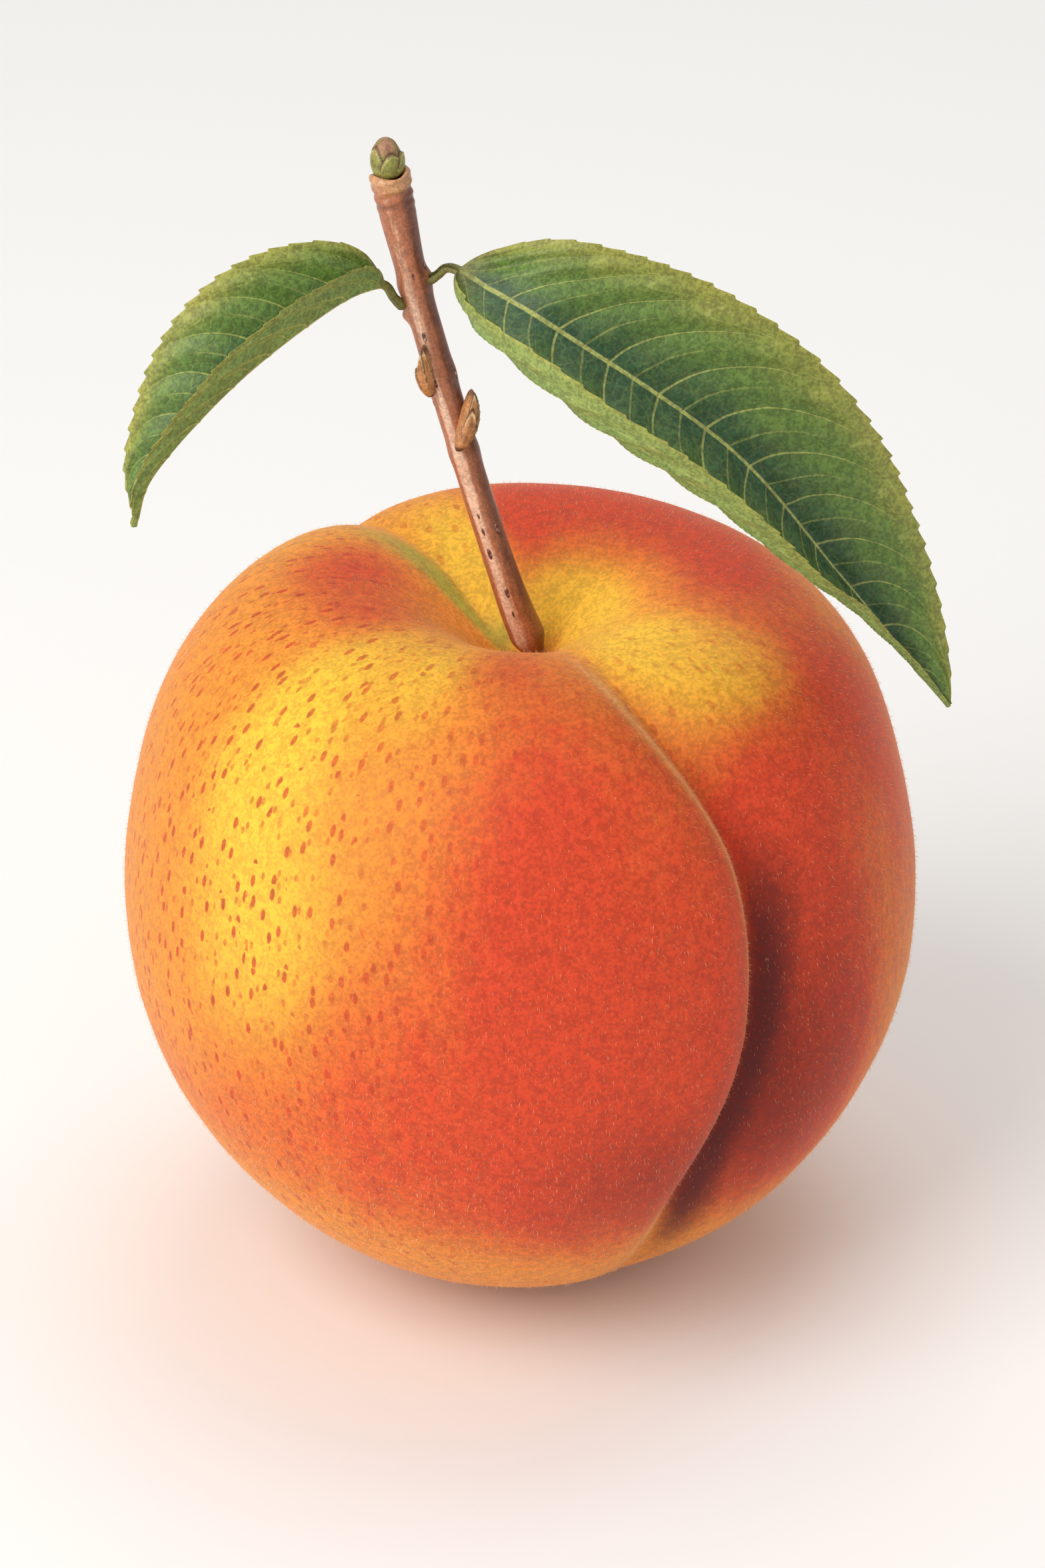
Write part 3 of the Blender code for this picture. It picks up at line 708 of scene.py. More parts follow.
def build_twig(settings):
    rings, sides = settings.rings, settings.sides
    path, tangent, side, front = twig_frame(rings)
    fraction = np.linspace(0, 1, rings)
    turn = np.arange(sides) * 2 * math.pi / sides
    radius = np.repeat(twig_radius(fraction)[:, None], sides, 1)
    wave = round_and_along(turn, fraction, 1.0, 6.0)
    radius = radius + 0.05 * MM * soft_noise(wave * np.array([1.6, 1.6, 1.0]), 1.0, 11)
    radius = radius + 0.018 * MM * soft_noise(wave * np.array([7.0, 7.0, 2.6]), 1.0, 12)
    # Wrinkles round the collar, and the lip of the collar itself
    top = ease(fraction, 0.90, 0.985)[:, None]
    wrinkle = 0.10 * MM * np.sin(fraction[:, None] * 330 + 1.6 * np.sin(2 * turn)[None, :])
    radius = radius + top * wrinkle
    lip = np.exp(-((fraction[:, None] - 0.985) / 0.008) ** 2)
    radius = radius + 0.16 * MM * lip * (1 + 0.5 * np.sin(3 * turn + 0.8)[None, :])
    swell = np.zeros_like(radius)
    for place, direction, rise in CUSHIONS:
        off = (np.degrees(turn)[None, :] - direction + 180) % 360 - 180
        near = ((fraction[:, None] - place) / CUSHION_REACH) ** 2 + (off / CUSHION_SPREAD) ** 2
        swell += rise * np.exp(-near)
    radius = radius + swell
    lean = 0.5 * MM * ease(fraction, 0.93, 1.0)[:, None] * np.sin(2 * turn + 0.4)[None, :]
    grid = (path[:, None] + radius[..., None] * (np.cos(turn)[None, :, None] * side[:, None]
                                                 + np.sin(turn)[None, :, None] * front[:, None])
            + (lean * 0.6)[..., None] * tangent[:, None])
    # The cup that the end bud sits in: two rings turn in over the lip and down
    centre = path[-1]
    inner = []
    for shrink, sink in CUP_RINGS:
        inner.append(centre + (grid[-1] - centre) * shrink - sink * MM * tangent[-1])
    grid = np.concatenate([grid, np.array(inner)])
    ends = [path[0] - 0.25 * MM * tangent[0], centre - 0.7 * MM * tangent[-1]]
    piece = make_piece("peach_twig", grid, ends, build_bark_material(settings))
    extra = len(inner)
    along = np.concatenate([fraction, np.ones(extra)])
    length = np.linalg.norm(np.diff(path, axis=0), axis=1).sum()
    grain = round_and_along(turn, along, TWIG_RADIUS, 0.10 * length)
    store_vectors(piece, "grain", grain, [(0, 0, 0), (0, 0, 0.1 * length)])
    direction = np.concatenate([tangent, np.repeat(tangent[-1:], extra, 0)])
    store_vectors(piece, "along", np.repeat(direction[:, None], sides, 1), [tangent[0], tangent[-1]])
    cover = ease(along, 0.02, 0.1) * (along < 0.93)
    store_numbers(piece, "cover", np.repeat(cover[:, None], sides, 1), [0, 0])
    rim = np.concatenate([0.85 * ease(fraction, 0.962, 0.985), [0.8, 0.5, 0.1, 0.0, 0.0]])
    # Painted shade, darker deeper into the cup, in a ring below the collar's lip and at the foot where the
    # twig meets the fruit
    twig_recess_shade = np.concatenate([0 * fraction, [0.0, 0.2, 0.6, 0.8, 0.8]])
    shade = 0.5 * np.exp(-((fraction - 0.945) / 0.006) ** 2) + 0.7 * np.exp(-((fraction / 0.05) ** 2))
    twig_recess_shade[:rings] += shade
    # Painted highlight down the lit side, weaker towards the top, and painted shade down the far side
    pale = np.exp(-(((turn - math.radians(250)) / math.radians(24)) ** 2))
    shaded = np.exp(-(((turn - math.radians(333)) / math.radians(38)) ** 2))
    store_numbers(piece, "pale", pale[None, :] * np.minimum(1, 1.4 - along)[:, None], [0, 0])
    store_numbers(piece, "shaded", shaded[None, :] + 0 * along[:, None], [0, 0])
    rim = np.repeat(rim[:, None], sides, 1)
    rim[:rings] += swell / MM
    store_numbers(piece, "rim", rim, [0, 0])
    store_numbers(piece, "twig_recess_shade", np.repeat(twig_recess_shade[:, None], sides, 1), [0, 0.8])
    return piece


# ---------------------------------------------------------------- Buds

def build_bud_material(name, body, edge, tip, rim):
    material, tree, shader = new_material(name)
    position = put(tree, "ShaderNodeTexCoord").outputs["Object"]
    ridge = read_attribute(tree, "ridge")
    mottled = noise(tree, position, 900, 4.0, 0.6)
    colour = blend_colour(tree, times(tree, between(tree, mottled, 0.4, 0.7), 0.5), body, edge)
    colour = blend_colour(tree, read_attribute(tree, "tip"), colour, tip)
    colour = blend_colour(tree, times(tree, between(tree, ridge, 0.35, 0.8), 0.4), colour, body)
    colour = blend_colour(tree, times(tree, read_attribute(tree, "pale"), 0.95), colour, rim)
    colour = blend_colour(tree, read_attribute(tree, "seam"), colour, edge)
    grained = use_group(tree, "fine_stipple", {"Colour": colour, "Vector": position, "Dots per metre": 5200.0,
                                               "Strength": 0.5})
    tree.links.new(grained.outputs["Colour"], shader.inputs["Base Color"])
    tree.links.new(between(tree, mottled, 0.3, 0.7, 0.42, 0.66), shader.inputs["Roughness"])
    set_bump(tree, shader, grained.outputs["Height"], 0.6, 0.10 * MM)
    return material


def bud_grid(width, rows, sides, foot_fullness, bluntness, scales, step):
    """A bud along +Z with overlapping scales, each lifted one step further than the last.
    Returns its radii, directions and heights, and masks for the scales' dark seams and pale edges."""
    fraction = (1 - np.cos(np.linspace(0, math.pi, rows + 2)[1:-1])) / 2
    turn = np.arange(sides) * 2 * math.pi / sides
    radius = width / 2 * np.sin(math.pi * fraction**foot_fullness) ** bluntness
    closing = radius / radius.max()
    radius = np.repeat(radius[:, None], sides, 1)
    seam, pale = np.zeros((rows, sides)), np.zeros((rows, sides))
    lift = np.zeros((rows, sides))
    for layer, (direction, half_width, height) in enumerate(scales):
        off = (turn - direction + math.pi) % (2 * math.pi) - math.pi
        edge = height * np.sqrt(np.clip(1 - (off / half_width) ** 2, 0, 1))
        inside = edge[None, :] - fraction[:, None]
        cover = ease(inside, -0.012, 0.012)
        rank = (layer + 1) * step
        lift = lift * (1 - cover) + (rank + 0.6 * step * np.exp(-(inside / 0.06) ** 2)) * cover
        seam = np.maximum(seam * (1 - cover), np.exp(-((inside + 0.03) / 0.04) ** 2))
        pale = np.maximum(pale * (1 - cover), np.exp(-((inside - 0.045) / 0.035) ** 2))
    radius = radius + lift * closing[:, None]
    return radius, turn, fraction, seam, pale


def clear_of_twig(points):
    """Moves each point that is in the twig, or too near it, straight out from its axis."""
    path, tangent, _, _ = twig_frame(500)
    reach = twig_radius(np.linspace(0, 1, 500)) - 0.05 * MM
    flat = points.reshape(-1, 3)
    near = np.argmin(np.linalg.norm(flat[:, None] - path[None], axis=2), axis=1)
    offset = flat - path[near]
    offset -= tangent[near] * np.sum(offset * tangent[near], axis=1, keepdims=True)
    gap = np.linalg.norm(offset, axis=1)
    push = np.maximum(reach[near] - gap, 0)
    return (flat + unit(offset) * push[:, None]).reshape(points.shape)


def finish_bud(name, grid, ends, seam, pale, ridge, tip, material):
    piece = make_piece(name, grid, ends, material)
    store_numbers(piece, "seam", seam, [0, 0.4])
    store_numbers(piece, "pale", pale, [0, 0])
    store_numbers(piece, "ridge", ridge, [0, 0])
    store_numbers(piece, "tip", tip, [0, 1])
    return piece


def build_end_bud(settings):
    path, tangent, side, front = twig_frame(400)
    radius, turn, fraction, seam, pale = bud_grid(END_BUD_WIDTH, 72, 80, 0.80, 0.40, END_BUD_SCALES,
                                                  0.055 * MM)
    facing = 0.35 + 0.65 * np.exp(-((turn - 5.0) / 1.1) ** 2)
    crumple = ease(fraction, 0.60, 0.78)[:, None] * facing[None, :]
    folds = soft_noise(round_and_along(turn, fraction, 1.0, 2.0) * 2.6, 1.0, 21)
    radius = radius + 0.22 * MM * crumple * folds * np.sin(math.pi * fraction[:, None])
    foot = path[-1] - END_BUD_SINK * tangent[-1]
    tilt = unit(tangent[-1] + 0.06 * side[-1])
    outward = np.cos(turn)[:, None] * side[-1] + np.sin(turn)[:, None] * front[-1]
    grid = foot + radius[..., None] * outward[None] + (fraction * END_BUD_LENGTH)[:, None, None] * tilt
    ends = [foot, foot + END_BUD_LENGTH * tilt]
    material = build_bud_material("green_bud_scale", settings.green, settings.brown, settings.cap,
                                  settings.green_edge)
    return finish_bud("peach_end_bud", grid, ends, seam, pale, np.abs(folds) * crumple, crumple, material)


def build_side_bud(name, bud, material):
    length, width, depth = bud["size"]
    place, turn_out, lean = bud["place"], bud["turn_out"], bud["lean"]
    path, tangent, side, front = twig_frame(400)
    index = round(place * 399)
    outward = -front[index] * math.cos(turn_out) + side[index] * math.sin(turn_out)
    along = unit(tangent[index] * math.cos(lean) + np.cross(outward, tangent[index]) * math.sin(lean))
    across = np.cross(along, outward)
    radius, turn, fraction, seam, pale = bud_grid(1.0, 72, 72, 0.90, 0.50, bud["scales"], 0.085)
    ridges = 0.5 + 0.5 * np.sin(turn[None, :] * 9 + 2.0 * fraction[:, None])
    radius = radius * (1 + 0.035 * ridges * np.sin(math.pi * fraction[:, None]))
    centre = path[index] + outward * (twig_radius(np.array([place]))[0] + depth * 0.16)
    bend = 0.35 * MM * np.sin(math.pi * fraction)
    grid = (centre + (radius * np.cos(turn)[None, :] * width)[..., None] * across
            + (radius * np.sin(turn)[None, :] * depth + bend[:, None])[..., None] * outward
            + ((fraction - 0.5) * length)[:, None, None] * along)
    ends = np.array([centre - along * length / 2, centre + along * length / 2])
    tip = np.exp(-((fraction - 0.95) / 0.08) ** 2)[:, None] + np.exp(-(fraction / 0.06) ** 2)[:, None]
    grid, ends = clear_of_twig(grid), clear_of_twig(ends)
    return finish_bud(name, grid, ends, seam, pale, ridges, tip + 0 * ridges, material)


# ---------------------------------------------------------------- Leaves

SMALLEST_WIDTH = 0.45
VEIN_LEAN = 0.06
VEIN_SWEEP = 0.14
VEIN_SWEEP_POWER = 2.5
TOOTH_HEIGHT = 0.42 * MM
PUFF_HEIGHT = 0.34 * MM
VEIN_SINK = 0.10 * MM
RIPPLE_HEIGHT = 0.45 * MM
RIPPLE_CELL = 6.5 * MM
STEM_RADIUS = 0.46 * MM
STEM_TAPER = 0.34 * MM
RIB_REACH = 0.55 * MM
# How far the rings of a petiole's foot stand back into the twig
FOOT_STEPS = np.array([1.3, 0.9, 0.45]) * MM
FOOT_SWELL = 1.12
LOOP_PLACE = 0.84
LOOP_SWING = 0.07


def along_leaf(values, fraction):
    """Reads values, given at the base, the middle and the tip, at each fraction of the length."""
    return read_curve(list(zip((0, 0.5, 1), values)), fraction)


def half_width(leaf, kind, fraction):
    """From the midrib to the margin, measured over the surface."""
    width, base, tip = leaf[kind + "_outline"]
    share = np.clip((fraction - leaf["petiole"]) / (1 - leaf["petiole"]), 0, 1)
    widest = base / (base + tip)
    swell = (share / widest) ** base * ((1 - share) / (1 - widest)) ** tip
    return np.maximum(width * swell, SMALLEST_WIDTH) * MM


def half_blade(leaf, fraction, q, frame_axes, far):
    """Points and upward normals of one half of the blade, from the midrib at q 0 to the margin at q 1."""
    facing, across = frame_axes
    kind = "far" if far else "near"
    width = half_width(leaf, kind, fraction)
    tilt = np.radians(along_leaf(leaf[kind + "_tilt"], fraction))
    curl = np.radians(along_leaf(leaf[kind + "_curl"], fraction))
    angle = tilt[:, None] + (curl - tilt)[:, None] * q[None, :] ** leaf["curl_power"]
    sign = 1 if far else -1
    heading = sign * np.cos(angle)[..., None] * across[:, None] + np.sin(angle)[..., None] * facing[:, None]
    normal = -sign * np.sin(angle)[..., None] * across[:, None] + np.cos(angle)[..., None] * facing[:, None]
    steps = (heading[:, 1:] + heading[:, :-1]) / 2 * np.diff(q)[None, :, None]
    travel = np.concatenate([np.zeros_like(steps[:, :1]), np.cumsum(steps, axis=1)], axis=1)
    return travel * width[:, None, None], normal, width, heading[:, -1]


def vein_pattern(share, q, count):
    """How near each place is to a side vein, from 0 to 1, and how puffed up the blade is between veins."""
    reach = np.abs(q)
    phase = count * (share - VEIN_LEAN * reach - VEIN_SWEEP * reach**VEIN_SWEEP_POWER)
    off = np.abs((phase + 0.5) % 1 - 0.5)
    return np.exp(-(off / 0.05) ** 2), np.sin(math.pi * (phase % 1)) ** 2


def leaf_surface(leaf, settings):
    """Closed rings across the leaf, with the values that its material reads."""
    stations, half = settings.stations, settings.across // 2
    path = along_spline(leaf["path"], stations)
    fraction = np.linspace(0, 1, stations)
    tangent = unit(np.gradient(path, axis=0))
    facing = along_leaf(leaf["facing"], fraction)
    facing = unit(facing - tangent * np.sum(facing * tangent, axis=1, keepdims=True))
    across = np.cross(facing, tangent)
    if across[stations // 2, 1] < 0:
        across = -across
    q = np.sin(np.linspace(0, math.pi / 2, half + 1)) ** 0.9
    far, far_normal, far_width, far_out = half_blade(leaf, fraction, q, (facing, across), True)
    near, near_normal, near_width, near_out = half_blade(leaf, fraction, q, (facing, across), False)
    start = leaf["petiole"]
    share = np.clip((fraction - start) / (1 - start), 0, 1)
    is_blade = ease(fraction, start - 0.01, start + 0.05)[:, None]
    # Teeth: each rises slowly towards the tip and drops back quickly
    saw = (share * leaf["teeth"]) % 1
    tooth = (saw**1.4 * (1 - ease(saw, 0.86, 1.0))) * TOOTH_HEIGHT * np.sin(math.pi * share) ** 0.4
    tooth = tooth * is_blade[:, 0]
    edge_reach = ease(q, 0.90, 1.0)[None, :, None]
    for half_points, outwards in ((far, far_out), (near, near_out)):
        half_points += (outwards + 0.5 * tangent)[:, None] * tooth[:, None, None] * edge_reach
    spine = np.concatenate([near[:, :0:-1], far], axis=1) + path[:, None]
    normal = np.concatenate([near_normal[:, :0:-1], far_normal], axis=1)
    normal[:, half] = facing
    q_all = np.concatenate([-q[:0:-1], q])
    width = np.where(q_all[None, :] < 0, near_width[:, None], far_width[:, None])
    off_midrib = np.abs(q_all)[None, :] * width
    vein, puff = vein_pattern(share[:, None], q_all[None, :], leaf["veins"])
    inside = ease(np.abs(q_all), 1.0, 0.80)[None, :] * is_blade
    relief = (PUFF_HEIGHT * puff - VEIN_SINK * vein) * inside * ease(off_midrib, 0.3 * MM, 1.8 * MM)
    ripple = RIPPLE_HEIGHT * soft_noise(spine, RIPPLE_CELL, 31) * is_blade * np.abs(q_all)[None, :] ** 1.5
    stem = (STEM_RADIUS - STEM_TAPER * fraction)[:, None]
    round_stem = stem * np.sqrt(np.clip(1 - q_all**2, 0, 1))[None, :]
    flat = settings.thickness / 2 * np.sqrt(1 - np.abs(q_all) ** 8)[None, :]
    flat = flat * np.minimum(1, 0.3 + 8 * (1 - fraction[:, None]))
    rib = stem * np.exp(-(off_midrib / RIB_REACH) ** 2)
    middle = (relief + ripple) * 0.9
    above = round_stem * (1 - is_blade) + (flat + middle - 0.25 * rib) * is_blade
    below = round_stem * (1 - is_blade) + (flat - middle + 1.1 * rib + 0.06 * MM * vein * inside) * is_blade
    upper = spine + normal * above[..., None]
    lower = spine - normal * below[..., None]
    rings = np.concatenate([upper, lower[:, -2:0:-1]], axis=1)
    # The petiole's foot runs on into the twig
    foot = FOOT_STEPS[:, None, None] * tangent[0]
    rings = np.concatenate([path[0] + (rings[:1] - path[0]) * FOOT_SWELL - foot, rings])

    def both(values, lower_values):
        around = np.concatenate([values, lower_values[:, -2:0:-1]], axis=1)
        return np.concatenate([np.repeat(around[:1], len(foot), 0), around])

    q_grid = np.repeat(q_all[None, :], stations, 0)
    share_grid = np.repeat(share[:, None], len(q_all), 1)
    values = {
        "q": both(q_grid, q_grid),
        "share": both(share_grid, share_grid),
        "off_midrib": both(off_midrib, off_midrib),
        "upper": both(np.ones_like(q_grid), np.zeros_like(q_grid)),
        "blade": both(is_blade + 0 * q_grid, is_blade + 0 * q_grid),
    }
    return rings, path, values


def build_vein_group():
    """Masks for the midrib, the side veins with their loops, and the fine net between them."""
    tree, given, out = new_group(
        "leaf_veins", [("Vein count", "NodeSocketFloat", 10.0)],
        [("Midrib", "NodeSocketFloat"), ("Vein", "NodeSocketFloat"), ("Net", "NodeSocketFloat")])
    position = put(tree, "ShaderNodeTexCoord").outputs["Object"]
    q = calc(tree, "ABSOLUTE", read_attribute(tree, "q"))
    share = read_attribute(tree, "share")
    off_midrib = read_attribute(tree, "off_midrib")
    waver = times(tree, minus(tree, noise(tree, position, 120, 2.0), 0.5), 0.016)
    sweep = times_plus(tree, calc(tree, "POWER", q, VEIN_SWEEP_POWER), VEIN_SWEEP, times(tree, q, VEIN_LEAN))
    place = plus(tree, minus(tree, share, sweep), waver)
    phase = times(tree, place, given.outputs["Vein count"])
    off = calc(tree, "ABSOLUTE", minus(tree, calc(tree, "FRACT", plus(tree, phase, 0.5)), 0.5))
    line_width = between(tree, q, 0.0, 0.95, 0.034, 0.018)
    side = between(tree, divided(tree, off, line_width), 1.0, 0.35)
    side = times(tree, side, between(tree, q, 0.93, 0.80))
    swing = times(tree, calc(tree, "COSINE", times(tree, phase, 2 * math.pi)), LOOP_SWING)
    loop_off = calc(tree, "ABSOLUTE", minus(tree, q, plus(tree, swing, LOOP_PLACE)))
    loop = times(tree, between(tree, loop_off, 0.020, 0.006), 0.4)
    half_off = calc(tree, "ABSOLUTE", minus(tree, calc(tree, "FRACT", phase), 0.5))
    short_vein = times(tree, between(tree, half_off, 0.030, 0.010), between(tree, q, 0.75, 0.35, 0.0, 0.5))
    vein = calc(tree, "MAXIMUM", side, calc(tree, "MAXIMUM", loop, short_vein))
    tree.links.new(vein, out.inputs["Vein"])
    rib_width = between(tree, share, 0.0, 1.0, 0.30 * MM, 0.13 * MM)
    tree.links.new(between(tree, divided(tree, off_midrib, rib_width), 1.0, 0.55), out.inputs["Midrib"])
    cells = put(tree, "ShaderNodeTexVoronoi", {"Vector": position, "Scale": 900.0},
                feature="DISTANCE_TO_EDGE")
    tree.links.new(between(tree, cells.outputs["Distance"], 0.12, 0.02), out.inputs["Net"])


def build_leaf_material(name, settings, count):
    material, tree, shader = new_material(name)
    position = put(tree, "ShaderNodeTexCoord").outputs["Object"]
    veins = use_group(tree, "leaf_veins", {"Vein count": count})
    q = calc(tree, "ABSOLUTE", read_attribute(tree, "q"))
    upper = read_attribute(tree, "upper")
    cloud = noise(tree, position, 140, 3.0, 0.6)
    toward_margin = plus(tree, q, times(tree, minus(tree, cloud, 0.5), 0.45))
    # Painted shade: darker green beside the midrib, fading to green towards the margin
    top = blend_colour(tree, between(tree, toward_margin, 0.0, 0.55), settings.dark, settings.green)
    top = blend_colour(tree, between(tree, toward_margin, 0.55, 1.15), top, settings.margin)
    top = blend_colour(tree, times(tree, veins.outputs["Net"], 0.10), top, settings.margin)
    top = blend_colour(tree, times(tree, veins.outputs["Vein"], 0.72), top, settings.vein)
    top = blend_colour(tree, times(tree, veins.outputs["Midrib"], 0.9), top, settings.vein)
    low = blend_colour(tree, between(tree, toward_margin, 0.6, 1.5), settings.under, settings.margin)
    low = blend_colour(tree, times(tree, veins.outputs["Net"], 0.15), low, settings.green)
    any_vein = calc(tree, "MAXIMUM", veins.outputs["Vein"], veins.outputs["Midrib"])
    low = blend_colour(tree, any_vein, low, settings.vein)
    colour = blend_colour(tree, upper, low, top)
    rim = between(tree, q, 0.965, 1.0)
    colour = blend_colour(tree, times(tree, rim, 0.75), colour, settings.margin)
    petiole = minus(tree, 1.0, read_attribute(tree, "blade"))
    colour = blend_colour(tree, petiole, colour, settings.petiole)
    grained = use_group(tree, "fine_stipple", {"Colour": colour, "Vector": position, "Dots per metre": 3000.0,
                                               "Strength": 0.55})
    tree.links.new(grained.outputs["Colour"], shader.inputs["Base Color"])
    tree.links.new(between(tree, upper, 0.0, 1.0, 0.66, 0.46), shader.inputs["Roughness"])
    shader.inputs["Specular IOR Level"].default_value = 0.42
    height = minus(tree, times(tree, grained.outputs["Height"], 0.5),
                  times(tree, calc(tree, "MAXIMUM", veins.outputs["Vein"],
                                              times(tree, veins.outputs["Net"], 0.4)), 0.5))
    set_bump(tree, shader, height, 0.5, 0.18 * MM)
    return material


def build_leaf(name, leaf, settings):
    rings, path, values = leaf_surface(leaf, settings)
    ends = [rings[0].mean(axis=0), path[-1]]
    piece = make_piece(name, rings, ends, build_leaf_material(name + "_green", settings, leaf["veins"]))
    for title, numbers in values.items():
        store_numbers(piece, title, numbers, [numbers[0].mean(), numbers[-1].mean()])
    return piece


# ---------------------------------------------------------------- Scattered shapes

def build_scatter_tree():
    """Copies of a small shape on a surface, turned along it, each with its own size and lean."""
    tree = bpy.data.node_groups.new("scatter_on_surface", "GeometryNodeTree")
    sockets = {}
    kinds = {"Surface": "Geometry", "Shape": "Object", "Density": "Float", "Smallest": "Float",
             "Largest": "Float", "Lean": "Float", "Seed": "Int", "Material": "Material"}
    for title, kind in kinds.items():
        socket = tree.interface.new_socket(title, in_out="INPUT", socket_type="NodeSocket" + kind)
        sockets[title] = socket.identifier
    tree.interface.new_socket("Geometry", in_out="OUTPUT", socket_type="NodeSocketGeometry")
    given, out = put(tree, "NodeGroupInput"), put(tree, "NodeGroupOutput")
    cover = put(tree, "GeometryNodeInputNamedAttribute", {"Name": "cover"}, data_type="FLOAT")
    density = put(tree, "ShaderNodeMath", {0: given.outputs["Density"], 1: cover.outputs["Attribute"]},
                  operation="MULTIPLY")
    lean, seed = given.outputs["Lean"], given.outputs["Seed"]
    spots = put(tree, "GeometryNodeDistributePointsOnFaces",
                {"Mesh": given.outputs["Surface"], "Density": density.outputs[0], "Seed": seed})
    along = put(tree, "GeometryNodeInputNamedAttribute", {"Name": "along"}, data_type="FLOAT_VECTOR")
    upright = put(tree, "FunctionNodeAlignRotationToVector", {"Vector": spots.outputs["Normal"]}, axis="Z")
    turned = put(tree, "FunctionNodeAlignRotationToVector",
                 {"Rotation": upright.outputs[0], "Vector": along.outputs["Attribute"]},
                 axis="Y", pivot_axis="Z")
    low = put(tree, "ShaderNodeMath", {0: lean, 1: -1.0}, operation="MULTIPLY")
    lows = put(tree, "ShaderNodeCombineXYZ", {"X": low.outputs[0], "Y": low.outputs[0], "Z": 0.0})
    highs = put(tree, "ShaderNodeCombineXYZ", {"X": lean, "Y": lean, "Z": 0.0})
    tilt = put(tree, "FunctionNodeRandomValue", {0: lows.outputs[0], 1: highs.outputs[0], "Seed": seed},
               data_type="FLOAT_VECTOR")
    tilt_turn = put(tree, "FunctionNodeEulerToRotation", {0: tilt.outputs[0]})
    leaning = put(tree, "FunctionNodeRotateRotation",
                  {"Rotation": turned.outputs[0], "Rotate By": tilt_turn.outputs[0]}, rotation_space="LOCAL")
    size = put(tree, "FunctionNodeRandomValue",
               {2: given.outputs["Smallest"], 3: given.outputs["Largest"], "Seed": seed}, data_type="FLOAT")
    shape = put(tree, "GeometryNodeObjectInfo", {"Object": given.outputs["Shape"]})
    copies = put(tree, "GeometryNodeInstanceOnPoints",
                 {"Points": spots.outputs["Points"], "Instance": shape.outputs["Geometry"],
                  "Rotation": leaning.outputs[0], "Scale": size.outputs[1]})
    real = put(tree, "GeometryNodeRealizeInstances", {"Geometry": copies.outputs["Instances"]})
    dressed = put(tree, "GeometryNodeSetMaterial", {"Geometry": real.outputs["Geometry"],
                                                    "Material": given.outputs["Material"]})
    tree.links.new(dressed.outputs["Geometry"], out.inputs[0])
    return tree, sockets


def scatter(name, surface, shape, material, density, sizes, lean, seed):
    """Scatters shape over surface and returns the copies as one plain mesh. The shape is used up."""
    tree, sockets = build_scatter_tree()
    base = bpy.data.objects.new(name + "_base", surface.data.copy())
    bpy.context.scene.collection.objects.link(base)
    modifier = base.modifiers.new("scatter", "NODES")
    modifier.node_group = tree
    values = {"Shape": shape, "Density": density, "Smallest": sizes[0], "Largest": sizes[1], "Lean": lean,
              "Seed": seed, "Material": material}
    for title, value in values.items():
        modifier[sockets[title]] = value
    evaluated = base.evaluated_get(bpy.context.evaluated_depsgraph_get())
    mesh = bpy.data.meshes.new_from_object(evaluated)
    mesh.name = name
    base.modifiers.remove(modifier)
    for used in (base, shape):
        bpy.data.objects.remove(used, do_unlink=True)
    piece = bpy.data.objects.new(name, mesh)
    bpy.context.scene.collection.objects.link(piece)
    return piece


def hair_shape(length, width):
    """A three-sided spike that bends over a little along +Y."""
    angles = (math.pi / 2, math.pi * 7 / 6, -math.pi / 6)
    points = [(width / 2 * math.cos(angle), width / 2 * math.sin(angle), 0) for angle in angles]
    points.append((0, 0.45 * length, 0.85 * length))
    mesh = bpy.data.meshes.new("hair")
    mesh.from_pydata(points, [], [(0, 2, 1), (0, 1, 3), (1, 2, 3), (2, 0, 3)])
    shape = bpy.data.objects.new("hair", mesh)
    bpy.context.scene.collection.objects.link(shape)
    return shape


def pore_shape():
    """A low oval pimple, longer along +Y."""
    mesh = bpy.data.meshes.new("pore")
    solid = bmesh.new()
    bmesh.ops.create_icosphere(solid, subdivisions=2, radius=1.0)
    for vertex in solid.verts:
        vertex.co = Vector((vertex.co.x * 0.20, vertex.co.y * 0.60, vertex.co.z * 0.06)) * MM
    solid.to_mesh(mesh)
    solid.free()
    mesh.shade_smooth()
    shape = bpy.data.objects.new("pore", mesh)
    bpy.context.scene.collection.objects.link(shape)
    return shape


def build_fuzz_material(settings):
    material, tree, shader = new_material("fuzz")
    position = put(tree, "ShaderNodeTexCoord").outputs["Object"]
    tone = noise(tree, position, 2200, 2.0)
    colour = blend_colour(tree, between(tree, tone, 0.3, 0.7), settings.fuzz_colour, settings.orange)
    tree.links.new(colour, shader.inputs["Base Color"])
    tree.links.new(between(tree, tone, 0.3, 0.7, 0.45, 0.6), shader.inputs["Roughness"])
    return material


def build_pore_material(settings):
    material, tree, shader = new_material("bark_pore")
    position = put(tree, "ShaderNodeTexCoord").outputs["Object"]
    tone = noise(tree, position, 3000, 3.0)
    colour = blend_colour(tree, between(tree, tone, 0.5, 0.75), settings.dark_bark_and_shade, settings.pale_bark_and_highlight)
    tree.links.new(colour, shader.inputs["Base Color"])
    tree.links.new(between(tree, tone, 0.3, 0.7, 0.55, 0.75), shader.inputs["Roughness"])
    return material


# ---------------------------------------------------------------- Stage

FLOOR_REACH = 3.0
WORLD_COLOUR = (1.0, 0.99, 0.975, 1)
WORLD_STRENGTH = 0.52
LAMP_TARGET = (0, 0, 0.05)
# How far the middle of the view is right of the fruit's centre, and above it in the picture
AIM_RIGHT = 0.2 * MM
AIM_UP = 10.3 * MM


